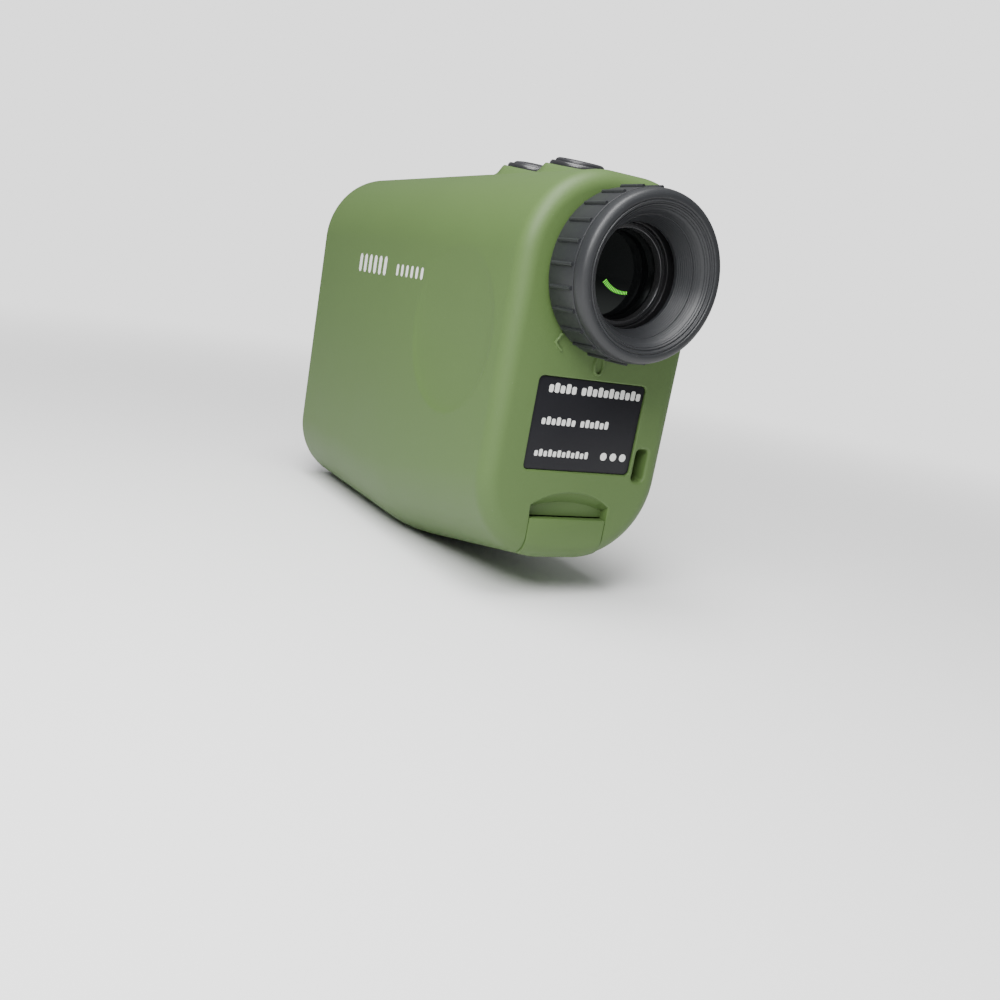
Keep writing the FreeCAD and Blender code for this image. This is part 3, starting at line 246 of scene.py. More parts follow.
def new_piece(name, points, faces, body="root"):
    """A mesh piece from points in millimetres, riding on a body."""
    mesh = bpy.data.meshes.new(name)
    mesh.from_pydata([tuple(float(v) * MM for v in p) for p in points], [], faces)
    mesh.validate()
    item = bpy.data.objects.new(name, mesh)
    bpy.context.collection.objects.link(item)
    smooth_by_angle(item)
    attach(item, body)
    return item


skin_points, skin_faces = [], []


def add_points(rows):
    """Adds points (x, along, z) to the case's skin and returns their numbers."""
    start = len(skin_points)
    skin_points.extend((x, rear_y + along, z) for x, along, z in rows)
    return list(range(start, len(skin_points)))


def bridge(first, second, closed=False):
    """Quads from one row of points to the next."""
    count = len(first) if closed else len(first) - 1
    for i in range(count):
        j = (i + 1) % len(first)
        skin_faces.append((first[i], second[i], second[j], first[j]))


fillet = np.linspace(math.pi / 2, 0, 11)
stations = [(rear_round * (1 - math.sin(a)), rear_round * (1 - math.cos(a))) for a in fillet]
plain = set(np.round(np.arange(3.6, 46, 0.55), 3)) | set(np.round(np.linspace(46, 94.6, 44), 3))
plain |= {strap_near, strap_far, opening_end}
for place in button_places.values():
    crest = place + boss_reach
    plain |= set(np.round(np.arange(crest - 0.45, crest + 0.5, 0.15), 3))
    plain |= set(np.round(np.arange(crest + 1.7, crest + 3.0, 0.2), 3))
stations += [(along, 0.0) for along in sorted(plain)]
front_turns = np.linspace(0, math.acos(1 - 2.1 / front_round), 9)
stations += [(case_length - front_round * (1 - math.sin(a)), front_round * (1 - math.cos(a)))
             for a in front_turns]

rings, ring_places = [], []
for along, inset in stations:
    outline = case_outline(along, inset)
    placed = case_skin(np.array([(x, along, z) for x, z in outline]))
    rings.append(add_points(placed))
    ring_places.append(placed)
around = len(rings[0])
door_line = 13

seat_up = case_top + boss_crest - boss_reach * boss_tilt
button_centres = {word: (place, seat_up) for word, place in button_places.items()}


def left_out(middle, column):
    """True where the case is open: the door's strip, under a button's ring, and the strap's side hole."""
    x, along, z = middle
    if along < opening_end and (column < door_line or column >= around - door_line):
        return True
    if z > 70 and any(math.hypot(x, along - place) < 5.25 for place, _ in button_centres.values()):
        return True
    return x > 19 and strap_near < along < strap_far and strap_low < z < strap_high


for i in range(len(rings) - 1):
    here, there = ring_places[i], ring_places[i + 1]
    for j in range(around):
        k = (j + 1) % around
        middle = (here[j] + here[k] + there[j] + there[k]) / 4
        if not left_out(middle, j):
            skin_faces.append((rings[i][j], rings[i + 1][j], rings[i + 1][k], rings[i][k]))

# The side hole of the strap's passage is walled inwards as far as the upright slot.
side_rows = [i for i, (along, inset) in enumerate(stations)
             if inset == 0 and strap_near - 0.05 < along < strap_far + 0.05]
first_row = ring_places[side_rows[0]]
side_columns = [j for j in range(around // 2) if first_row[j][0] > 19.4
                and strap_low - 0.05 < first_row[j][2] < strap_high + 0.35]
column_low = min(j for j in side_columns if (first_row[j][2] + first_row[j + 1][2]) / 2 > strap_low)
column_high = max(j for j in side_columns if (first_row[j][2] + first_row[j - 1][2]) / 2 < strap_high)
rim = []
rim += [rings[i][column_low] for i in side_rows]
rim += [rings[side_rows[-1]][j] for j in range(column_low + 1, column_high + 1)]
rim += [rings[i][column_high] for i in reversed(side_rows[:-1])]
rim += [rings[side_rows[0]][j] for j in range(column_high - 1, column_low, -1)]
inner_rim = add_points([(slot_x + slot_half - 0.2, skin_points[n][1] - rear_y, skin_points[n][2])
                        for n in rim])
bridge(inner_rim, rim, closed=True)


def hole_outline(kind):
    """Closed outlines (x, z) of what is cut into the flat rear face."""
    if kind == "barrel":
        return [(bore_radius * math.cos(a), eye_height + bore_radius * math.sin(a))
                for a in np.linspace(0, 2 * math.pi, 97)[:-1]]
    if kind == "strap":
        middle_x, middle_z, half_w, half_h, corner = slot_x, slot_z, slot_half, slot_reach, slot_corner
    else:
        middle_x, middle_z, half_w, half_h, corner = 0.0, label_up, label_half, label_reach, label_corner
    found = []
    for turn, (sx, sz) in enumerate([(1, 1), (-1, 1), (-1, -1), (1, -1)]):
        for a in np.linspace(0, math.pi / 2, 8):
            b = a + turn * math.pi / 2
            found.append((middle_x + sx * (half_w - corner) + corner * math.cos(b),
                          middle_z + sz * (half_h - corner) + corner * math.sin(b)))
    return found


def widened(outline, distance, closed=True):
    """An outline moved outwards by a distance, or by one distance for each point."""
    points = np.array(outline)
    if closed:
        ahead, behind = np.roll(points, -1, 0), np.roll(points, 1, 0)
    else:
        ahead = np.vstack([points[1:], 2 * points[-1] - points[-2]])
        behind = np.vstack([2 * points[0] - points[1], points[:-1]])
    along = ahead - behind
    outward = np.column_stack([along[:, 1], -along[:, 0]])
    outward /= np.linalg.norm(outward, axis=1)[:, None]
    return points + outward * np.reshape(distance, (-1, 1))


def sunk(outline, lip, depth, closed=True):
    """Rows of points that round an outline's edge over and go down to a depth. The first is level."""
    lips = np.broadcast_to(np.asarray(lip, float), (len(outline),))
    rows = []
    for a in np.linspace(0, math.pi / 2, 6):
        flat = widened(outline, lips * (1 - math.sin(a)), closed)
        rows.append([(x, d, z) for (x, z), d in zip(flat, lips * (1 - math.cos(a)))])
    rows.append([(x, depth, z) for x, z in outline])
    return rows


# The rear face: one flat wall with the eyepiece's bore, the label's seat and the strap's slot in
# it. The notch over the door runs out of its lower edge.
notch_half, notch_corner, notch_top, notch_deep = opening_half, 18.5, 21.1, 2.0
sill_up, sill_deep = 16.2, 3.8
rise = notch_top - notch_corner
arch = (notch_half**2 + rise**2) / (2 * rise)
swing = math.asin(notch_half / arch)
right_edge = ring_places[0][door_line]
notch = [(notch_half, z) for z in np.linspace(right_edge[2], notch_corner - 0.05, 9)]
notch += [(arch * math.sin(a), notch_top - arch + arch * math.cos(a)) for a in np.linspace(swing, -swing, 41)]
notch += [(-notch_half, z) for z in np.linspace(notch_corner - 0.05, right_edge[2], 9)]
notch_lip = [0.32 * min(max((z - 15.6) / 2.2, 0.03), 1) for x, z in notch]

loops = []
for kind, lip, depth in (("barrel", 0.3, 2.2), ("strap", 0.55, 7.0), ("label", 0.25, 0.9)):
    rows = [add_points(row) for row in sunk(hole_outline(kind), lip, depth)]
    for upper, lower in zip(rows[:-2], rows[1:-1]):
        bridge(upper, lower, closed=True)
    if kind == "strap":
        middle = add_points([(x, strap_near, z) for x, z in hole_outline(kind)])
        bridge(rows[-2], middle, closed=True)
        for i in range(len(middle)):
            k = (i + 1) % len(middle)
            if min(skin_points[middle[i]][0], skin_points[middle[k]][0]) < slot_x + slot_half - 0.1:
                skin_faces.append((middle[i], rows[-1][i], rows[-1][k], middle[k]))
    else:
        bridge(rows[-2], rows[-1], closed=True)
    if kind != "barrel":
        skin_faces.append(tuple(reversed(rows[-1])))
    loops.append(rows[0])

notch_rows = [add_points(row) for row in sunk(notch, notch_lip, 0.4, closed=False)[:-1]]
for upper, lower in zip(notch_rows, notch_rows[1:]):
    bridge(upper, lower)
flattened = [(x, notch_deep, z if z < sill_up else sill_up + (z - sill_up) * 0.55) for x, z in notch]
notch_back = add_points(flattened)
bridge(notch_rows[-1], notch_back)
floor_row = [n for n in notch_back if skin_points[n][2] >= sill_up]
sill_ends = add_points([(-notch_half, notch_deep, sill_up), (notch_half, notch_deep, sill_up)])
skin_faces.append((*reversed(floor_row), sill_ends[1], sill_ends[0]))
sill_back = add_points([(-notch_half, sill_deep, sill_up), (notch_half, sill_deep, sill_up)])
skin_faces.append((sill_ends[0], sill_ends[1], sill_back[1], sill_back[0]))

outer_edge = rings[0][door_line:around - door_line + 1]
flat_loop = outer_edge + list(reversed(notch_rows[0]))[1:-1]
flat_points, flat_edges, numbers = [], [], []
for loop in [flat_loop, *loops]:
    start = len(flat_points)
    flat_points += [Vector((skin_points[n][0], skin_points[n][2])) for n in loop]
    flat_edges += [(start + i, start + (i + 1) % len(loop)) for i in range(len(loop))]
    numbers += loop
filled = delaunay_2d_cdt(flat_points, flat_edges, [], 1, 1e-6, True)
made_points, made_faces = filled[0], filled[2]
label_of = [numbers[source[0]] for source in filled[3]]


def in_loop(point, loop):
    """True where a point lies inside a closed loop, by counting the edges to its right."""
    inside = False
    for i in range(len(loop)):
        (ax, az), (bx, bz) = loop[i], loop[i - 1]
        if (az > point[1]) != (bz > point[1]) and point[0] < (bx - ax) * (point[1] - az) / (bz - az) + ax:
            inside = not inside
    return inside


wall_loop = [(skin_points[n][0], skin_points[n][2]) for n in flat_loop]
hole_loops = [[(skin_points[n][0], skin_points[n][2]) for n in loop] for loop in loops]
for face in made_faces:
    middle = sum((made_points[n] for n in face), Vector((0, 0))) / len(face)
    if in_loop(middle, wall_loop) and not any(in_loop(middle, loop) for loop in hole_loops):
        skin_faces.append(tuple(label_of[n] for n in face))

# The walls of the door's opening, and the rim that the front cover sits in.
deep = wall + 1.6
for column, flip in ((door_line, False), (around - door_line, True)):
    last = next(i for i, (along, inset) in enumerate(stations) if along == opening_end)
    outer = [rings[i][column] for i in range(last + 1)]
    chain = [n for n in (notch_rows[0] if not flip else list(reversed(notch_rows[0])))
             if skin_points[n][2] < sill_up]
    outer = list(reversed(chain[1:])) + outer
    inner_row = []
    for x, y, z in (skin_points[n] for n in outer):
        along = max(y - rear_y, deep)
        inner_row.append((x, along, max(z, underside(along) + deep + 0.8)))
    inner = add_points(inner_row)
    bridge(*((outer, inner) if flip else (inner, outer)))
end_row = [rings[last][j % around] for j in range(around - door_line, around + door_line + 1)]
bridge(end_row, add_points([(skin_points[n][0], opening_end, skin_points[n][2] + deep) for n in end_row]))
front_rim = rings[-1]
rim_back = add_points([(skin_points[n][0], case_length - 4.5, skin_points[n][2]) for n in front_rim])
bridge(front_rim, rim_back, closed=True)

# The inside of the shell, a wall's thickness in. It is seen only through the door's opening.
inner_stations = [wall, 8.0, 16.0, 24.0, 32.0, 40.0, opening_end, 50.0, 70.0, case_length - 4.0]
inner_rings = []
for along in inner_stations:
    outline = case_outline(along, wall)
    inner_rings.append(add_points([(x, along, max(z, wall)) for x, z in outline]))
for first, second, along in zip(inner_rings, inner_rings[1:], inner_stations):
    for j in range(around):
        k = (j + 1) % around
        if along >= opening_end or door_line <= j < around - door_line:
            skin_faces.append((first[k], second[k], second[j], first[j]))

case_shell = new_piece("case_shell", skin_points, skin_faces)
tidy = bmesh.new()
tidy.from_mesh(case_shell.data)
bmesh.ops.remove_doubles(tidy, verts=tidy.verts, dist=0.004 * MM)
loose = [v for v in tidy.verts if not v.link_faces]
bmesh.ops.delete(tidy, geom=loose, context="VERTS")
tidy.to_mesh(case_shell.data)
tidy.free()
smooth_by_angle(case_shell, 30)
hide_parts("housing")

# The finish of the case: pigment with a faint mottle, a fine spark-eroded grain, and thin dust
# that dulls it in patches.


def effect_group(name, sizes, outputs, build):
    """A shader node group with named number inputs and outputs, wired by the build function."""
    group = bpy.data.node_groups.new(name, "ShaderNodeTree")
    for word, value in sizes.items():
        group.interface.new_socket(word, in_out="INPUT", socket_type="NodeSocketFloat").default_value = value
    for word in outputs:
        group.interface.new_socket(word, in_out="OUTPUT", socket_type="NodeSocketFloat")
    nodes, links = group.nodes, group.links
    given, result = nodes.new("NodeGroupInput"), nodes.new("NodeGroupOutput")

    def link(source, target):
        links.new(source, target)

    def add(kind, **settings):
        node = nodes.new(kind)
        for key, value in settings.items():
            setattr(node, key, value)
        return node

    build(add, link, given.outputs, result.inputs)
    return group


def build_grain(add, link, given, result):
    """Two sizes of pebbled grain. Puts out the height and a slower speckle."""
    place = add("ShaderNodeTexCoord")
    fine = add("ShaderNodeTexNoise")
    fine.inputs["Detail"].default_value = 3.0
    coarse = add("ShaderNodeTexVoronoi")
    share = add("ShaderNodeMath", operation="MULTIPLY")
    share.inputs[1].default_value = 0.6
    link(place.outputs["Object"], fine.inputs["Vector"])
    link(place.outputs["Object"], coarse.inputs["Vector"])
    link(given["Grains per metre"], fine.inputs["Scale"])
    link(given["Grains per metre"], share.inputs[0])
    link(share.outputs[0], coarse.inputs["Scale"])
    mix = add("ShaderNodeMath", operation="MULTIPLY_ADD")
    mix.inputs[1].default_value = 0.45
    link(coarse.outputs["Distance"], mix.inputs[0])
    link(fine.outputs["Fac"], mix.inputs[2])
    link(mix.outputs[0], result["Height"])
    speck = add("ShaderNodeMapRange")
    speck.inputs["From Min"].default_value = 0.35
    speck.inputs["From Max"].default_value = 0.75
    link(fine.outputs["Fac"], speck.inputs["Value"])
    link(speck.outputs["Result"], result["Speck"])


def build_handling(add, link, given, result):
    """Slow patches where a surface is a little duller or paler from use and dust."""
    place = add("ShaderNodeTexCoord")
    cloud = add("ShaderNodeTexNoise")
    cloud.inputs["Detail"].default_value = 5.0
    cloud.inputs["Roughness"].default_value = 0.62
    link(place.outputs["Object"], cloud.inputs["Vector"])
    link(given["Patches per metre"], cloud.inputs["Scale"])
    spread = add("ShaderNodeMapRange")
    spread.inputs["From Min"].default_value = 0.15
    spread.inputs["From Max"].default_value = 0.85
    link(cloud.outputs["Fac"], spread.inputs["Value"])
    link(spread.outputs["Result"], result["Patch"])
    dust = add("ShaderNodeTexNoise")
    dust.inputs["Scale"].default_value = 2600.0
    link(place.outputs["Object"], dust.inputs["Vector"])
    rare = add("ShaderNodeMapRange")
    rare.inputs["From Min"].default_value = 0.70
    rare.inputs["From Max"].default_value = 0.78
    link(dust.outputs["Fac"], rare.inputs["Value"])
    thin = add("ShaderNodeMath", operation="MULTIPLY")
    link(rare.outputs["Result"], thin.inputs[0])
    link(given["Dust"], thin.inputs[1])
    link(thin.outputs[0], result["Dust"])


grain_group = effect_group("moulded_grain", {"Grains per metre": 3200.0}, ["Height", "Speck"], build_grain)
handling_group = effect_group("handling", {"Patches per metre": 60.0, "Dust": 0.4}, ["Patch", "Dust"],
                              build_handling)


def new_finish(name, colour, deep_colour, rough, rough_spread=0.08, grains=3200.0, grain_depth=0.012,
               patches=60.0, dust=0.3, metal=0.0, coat=0.0, sheen=0.0, specular=0.5):
    """A grained finish: its colour runs between two tones, and its roughness and grain vary over it."""
    paint = bpy.data.materials.new(name)
    paint.use_nodes = True
    nodes, links = paint.node_tree.nodes, paint.node_tree.links
    shader = nodes["Principled BSDF"]
    shader.inputs["Metallic"].default_value = metal
    shader.inputs["Coat Weight"].default_value = coat
    shader.inputs["Coat Roughness"].default_value = 0.18
    shader.inputs["Sheen Weight"].default_value = sheen
    shader.inputs["Sheen Roughness"].default_value = 0.45
    shader.inputs["Specular IOR Level"].default_value = specular
    grain, handling = nodes.new("ShaderNodeGroup"), nodes.new("ShaderNodeGroup")
    grain.node_tree, handling.node_tree = grain_group, handling_group
    grain.inputs["Grains per metre"].default_value = grains
    handling.inputs["Patches per metre"].default_value = patches
    handling.inputs["Dust"].default_value = dust
    tones = nodes.new("ShaderNodeMix")
    tones.data_type = "RGBA"
    tones.inputs["A"].default_value = (*deep_colour, 1.0)
    tones.inputs["B"].default_value = (*colour, 1.0)
    tone = nodes.new("ShaderNodeMath")
    tone.operation = "MULTIPLY_ADD"
    tone.inputs[1].default_value = 0.35
    links.new(grain.outputs["Speck"], tone.inputs[0])
    half = nodes.new("ShaderNodeMath")
    half.operation = "MULTIPLY"
    half.inputs[1].default_value = 0.65
    links.new(handling.outputs["Patch"], half.inputs[0])
    links.new(half.outputs[0], tone.inputs[2])
    links.new(tone.outputs[0], tones.inputs["Factor"])
    dusted = nodes.new("ShaderNodeMix")
    dusted.data_type = "RGBA"
    dusted.inputs["B"].default_value = (0.42, 0.41, 0.38, 1.0)
    links.new(tones.outputs["Result"], dusted.inputs["A"])
    links.new(handling.outputs["Dust"], dusted.inputs["Factor"])
    links.new(dusted.outputs["Result"], shader.inputs["Base Color"])
    dulling = nodes.new("ShaderNodeMapRange")
    dulling.inputs["To Min"].default_value = rough - rough_spread
    dulling.inputs["To Max"].default_value = rough + rough_spread
    links.new(handling.outputs["Patch"], dulling.inputs["Value"])
    links.new(dulling.outputs["Result"], shader.inputs["Roughness"])
    relief = nodes.new("ShaderNodeBump")
    relief.inputs["Strength"].default_value = 1.0
    relief.inputs["Distance"].default_value = grain_depth * MM
    links.new(grain.outputs["Height"], relief.inputs["Height"])
    links.new(relief.outputs["Normal"], shader.inputs["Normal"])
    return paint


def dress(item, paint):
    """Gives a piece, or a CAD node by name, one finish all over."""
    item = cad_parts[item] if isinstance(item, str) else item
    item.data.materials.clear()
    item.data.materials.append(paint)
    return item


olive_moulding = new_finish("olive_moulding", (0.073, 0.126, 0.037), (0.065, 0.113, 0.032), rough=0.53,
                            rough_spread=0.04, grains=3600.0, grain_depth=0.010, patches=40.0, dust=0.06,
                            specular=0.32)
dress(case_shell, olive_moulding)

# ---------------------------------------------------------------------------------------------
# The eyepiece. A black anodised barrel stands out of the rear face, and a rubber-armoured dioptre
# ring with moulded ribs turns on it. The soft eyecup is pressed into the ring's front, and the
# lenses sit in a turned sleeve behind it.


def eased(profile, radius=0.12, steps=4):
    """A closed profile with each of its corners turned into a small arc."""
    found = []
    for i, (here, size) in enumerate((p[:2], p[2] if len(p) > 2 else radius) for p in profile):
        here = Vector(here)
        before, after = Vector(profile[i - 1][:2]) - here, Vector(profile[(i + 1) % len(profile)][:2]) - here
        reach = min(size, 0.45 * before.length, 0.45 * after.length)
        if reach < 0.005 or here.y < 0.001:
            found.append(tuple(here))
            continue
        start, stop = here + before.normalized() * reach, here + after.normalized() * reach
        for step in range(steps + 1):
            t = step / steps
            found.append(tuple((1 - t) ** 2 * start + 2 * t * (1 - t) * here + t**2 * stop))
    return found


def turned(name, profile, height, body="root", steps=160, seat=None, replaces=None, sharp=32):
    """A piece turned on a lathe: (along, radius) points about the line of sight at a height, or
    (radius, up) points about a button's own axis when a seat is given."""
    points, faces = [], []
    for step in range(steps):
        a = 2 * math.pi * step / steps
        for along, radius in profile:
            if seat is None:
                points.append((radius * math.sin(a), rear_y + along, height + radius * math.cos(a)))
            else:
                points.append(seat @ Vector((radius * math.cos(a), radius * math.sin(a), along)))
    count = len(profile)
    for step in range(steps):
        ahead = (step + 1) % steps
        for i in range(count):
            k = (i + 1) % count
            faces.append((step * count + i, step * count + k, ahead * count + k, ahead * count + i))
    item = new_piece(name, points, faces, body)
    work = bmesh.new()
    work.from_mesh(item.data)
    bmesh.ops.remove_doubles(work, verts=work.verts, dist=0.002 * MM)
    bmesh.ops.dissolve_degenerate(work, edges=work.edges, dist=0.001 * MM)
    bmesh.ops.recalc_face_normals(work, faces=work.faces)
    work.to_mesh(item.data)
    work.free()
    smooth_by_angle(item, sharp)
    if replaces:
        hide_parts(replaces)
    return item


rubber = new_finish("black_rubber", (0.019, 0.020, 0.022), (0.013, 0.014, 0.016), rough=0.46,
                    rough_spread=0.07, grains=5200.0, grain_depth=0.006, patches=90.0, dust=0.07,
                    specular=0.42)
anodised = new_finish("black_anodised", (0.012, 0.012, 0.013), (0.008, 0.008, 0.009), rough=0.38,
                      grains=9000.0, grain_depth=0.003, patches=120.0, dust=0.08, metal=0.35)
ring_gap, ring_split, reach = 0.6, 8.0, 10.6
ring_radius, ring_bore, lip_radius, skirt_radius, tongue = 14.6, 12.05, 14.55, 10.2, 0.8

ring_profile = [(-ring_gap, ring_bore), (-ring_gap, ring_radius, 0.35), (-ring_split, ring_radius, 0.10),
                (-ring_split, skirt_radius + 0.3), (-ring_split + tongue, skirt_radius + 0.3),
                (-ring_split + tongue, ring_bore)]
ring_body = turned("dioptre_ring_body", eased(ring_profile), eye_height, "dioptre", steps=192,
                   replaces="dioptre_ring")
dress(ring_body, rubber)

# The ribs: one rounded ridge, set round the ring by a node tree at even steps.


def new_tree(name, sizes):
    """A geometry node tree with named inputs: whole numbers, lengths, or None for an object."""
    tree = bpy.data.node_groups.new(name, "GeometryNodeTree")
    tree.interface.new_socket("Geometry", in_out="OUTPUT", socket_type="NodeSocketGeometry")
    for word, value in sizes.items():
        kind = {int: "NodeSocketInt", float: "NodeSocketFloat"}.get(type(value), "NodeSocketObject")
        socket = tree.interface.new_socket(word, in_out="INPUT", socket_type=kind)
        if value is not None:
            socket.default_value = value
    tree.interface.new_socket("Finish", in_out="INPUT", socket_type="NodeSocketMaterial")
    return tree, tree.nodes, tree.links, tree.nodes.new("NodeGroupInput").outputs


def tree_node(kind, outlet, **inputs):
    """One node of the tree with its inputs wired or set. Gives one of its outputs."""
    node = made.new(kind)
    for word, value in inputs.items():
        socket = node.inputs[word.replace("_", " ")]
        if isinstance(value, bpy.types.NodeSocket):
            wired.new(value, socket)
        else:
            socket.default_value = value
    return node.outputs[outlet]


def sum_of(kind, a, b):
    """A maths node on two sockets or numbers."""
    node = made.new("ShaderNodeMath")
    node.operation = kind
    for socket, value in zip(node.inputs, (a, b)):
        if isinstance(value, (int, float)):
            socket.default_value = value
        else:
            wired.new(value, socket)
    return node.outputs[0]


def joined(x, y, z):
    """A vector from three sockets or numbers."""
    return tree_node("ShaderNodeCombineXYZ", "Vector", X=x, Y=y, Z=z)


def end_tree(instances, smooth=False):
    """Turns a tree's instances into one mesh with the chosen finish, as its result."""
    found = tree_node("GeometryNodeRealizeInstances", "Geometry", Geometry=instances)
    if smooth:
        found = tree_node("GeometryNodeSetShadeSmooth", "Geometry", Geometry=found)
    found = tree_node("GeometryNodeSetMaterial", "Geometry", Geometry=found, Material=sizes["Finish"])
    wired.new(found, made.new("NodeGroupOutput").inputs["Geometry"])


rib_tree, made, wired, sizes = new_tree("ring_of_ribs", {
    "Ribs": 24, "Ring radius": 0.0146, "Rib length": 0.006, "Rib width": 0.0007, "Rib height": 0.00045,
    "Rib start": -0.0016, "Eye height": 0.061})
spot = tree_node("GeometryNodeMeshLine", "Mesh", Count=sizes["Ribs"])
far_end = sum_of("SUBTRACT", sizes["Rib start"], sizes["Rib length"])
bar = tree_node("GeometryNodeCurvePrimitiveLine", "Curve", Start=joined(0, far_end, 0),
                End=joined(0, sizes["Rib start"], 0))
even = tree_node("GeometryNodeResampleCurve", "Curve", Curve=bar, Count=15)
along_rib = tree_node("GeometryNodeSplineParameter", "Factor")
both_ways = sum_of("SUBTRACT", sum_of("MULTIPLY", along_rib, 2.0), 1.0)
blunt = sum_of("POWER", sum_of("ABSOLUTE", both_ways, 0.0), 14.0)
rounding = sum_of("SQRT", sum_of("MAXIMUM", sum_of("SUBTRACT", 1.0, blunt), 0.02), 0.0)
slim = tree_node("GeometryNodeSetCurveRadius", "Curve", Curve=even, Radius=rounding)
section = tree_node("GeometryNodeCurvePrimitiveCircle", "Curve", Resolution=12, Radius=0.5)
rib_depth = sum_of("MULTIPLY", sizes["Rib height"], 2.0)
oval = tree_node("GeometryNodeTransform", "Geometry", Geometry=section,
                 Scale=joined(sizes["Rib width"], rib_depth, 1.0))
rib = tree_node("GeometryNodeCurveToMesh", "Mesh", Curve=slim, Profile_Curve=oval, Fill_Caps=True)
lifted = tree_node("GeometryNodeTransform", "Geometry", Geometry=rib,
                   Translation=joined(0, 0, sizes["Ring radius"]))
level = tree_node("GeometryNodeSetPosition", "Geometry", Geometry=spot,
                  Position=joined(0, rear_y * MM, sizes["Eye height"]))
pitch = sum_of("DIVIDE", 2 * math.pi, sizes["Ribs"])
turn = sum_of("MULTIPLY", tree_node("GeometryNodeInputIndex", "Index"), pitch)
spin = tree_node("FunctionNodeEulerToRotation", "Rotation", Euler=joined(0, turn, 0))
end_tree(tree_node("GeometryNodeInstanceOnPoints", "Instances", Points=level, Instance=lifted, Rotation=spin),
         smooth=True)


def grown(name, tree, values, body):
    """The plain mesh that a node tree makes from its named inputs, as a piece riding on a body."""
    seed = bpy.data.objects.new(f"{name}_seed", bpy.data.meshes.new(f"{name}_seed"))
    bpy.context.collection.objects.link(seed)
    modifier = seed.modifiers.new("tree", "NODES")
    modifier.node_group = tree
    for socket in tree.interface.items_tree:
        if socket.in_out == "INPUT" and socket.name in values:
            modifier[socket.identifier] = values[socket.name]
    bpy.context.view_layer.update()
    mesh = bpy.data.meshes.new_from_object(seed.evaluated_get(bpy.context.evaluated_depsgraph_get()))
    mesh.name = name
    bpy.data.objects.remove(seed)
    item = bpy.data.objects.new(name, mesh)
    bpy.context.collection.objects.link(item)
    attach(item, body)
    return item


grown("dioptre_ribs", rib_tree, {"Finish": rubber}, "dioptre")

cup_profile = [
    (-ring_split, 14.5, 0.08), (-9.0, lip_radius, 0.5), (-10.15, 14.25, 0.55), (-reach, 13.45, 0.35),
    (-reach, 12.85, 0.10), (-10.42, 12.72, 0.05), (-10.42, 12.60, 0.05), (-10.58, 12.50, 0.08),
    (-10.50, 12.28, 0.08), (-10.12, 12.15, 0.06), (-10.05, 11.98, 0.06), (-10.16, 11.86, 0.06),
    (-9.95, 11.66, 0.06), (-9.80, 11.60, 0.05), (-9.88, 11.50, 0.05), (-9.62, 11.30, 0.05),
]
grooves, groove_pitch, cone_mouth, cone_throat = 13, 0.36, 11.28, 9.02
for step in range(grooves):
    along = -9.5 + step * groove_pitch
    radius = cone_mouth + (cone_throat - cone_mouth) * (step / (grooves - 0.5)) ** 0.80
    cup_profile += [(along, radius, 0.03), (along + 0.10, radius - 0.075, 0.03)]
cup_profile += [(-4.3, 9.0, 0.05), (-4.3, skirt_radius, 0.1), (-ring_split, skirt_radius, 0.05)]
cup = turned("eyecup_rubber", eased(cup_profile, steps=3), eye_height, "dioptre", steps=192,
             replaces="eyecup", sharp=50)
dress(cup, rubber)

cell_bore, cell_radius, cell_throat, lens_radius = 8.9, 10.55, 7.9, 8.85
keeper_profile = [(-2.0, 7.95, 0.12), (-2.0, lens_radius, 0.12), (-0.5, lens_radius, 0.08),
                  (-0.5, 7.75, 0.08)]
keeper = turned("eye_lens_keeper", eased(keeper_profile), eye_height, "focus_cell",
                replaces="eye_lens_ring")
bright_edge = new_finish("worn_black_metal", (0.10, 0.10, 0.105), (0.05, 0.05, 0.052), rough=0.24,
                         grains=12000.0, grain_depth=0.002, dust=0.05, metal=0.8)
dress(keeper, bright_edge)
sleeve_profile = [(-2.6, cell_bore, 0.15), (-2.6, cell_radius, 0.15), (11, cell_radius), (11, cell_throat),
                  (10, cell_throat), (10, cell_bore)]
sleeve = turned("focus_sleeve", eased(sleeve_profile), eye_height, "focus_cell",
                replaces="eyepiece_cell")
dress(sleeve, anodised)
for node in ("eyepiece_barrel", "lens_spacer", "optical_tube", "emitter_tube"):
    dress(node, anodised)
for node in ("dioptre_o_ring", "front_gasket"):
    dress(node, rubber)


def lens_profile(y, radius, rear_sag, front_sag, edge, steps=20):
    """A lens from its rear middle, out to its edge and back along its front face."""
    shares = [i / steps for i in range(steps + 1)]
    rear = [(y - rear_sag * (1 - share**2), radius * share) for share in shares]
    return rear + [(y + edge + front_sag * (1 - share**2), radius * share) for share in reversed(shares)]


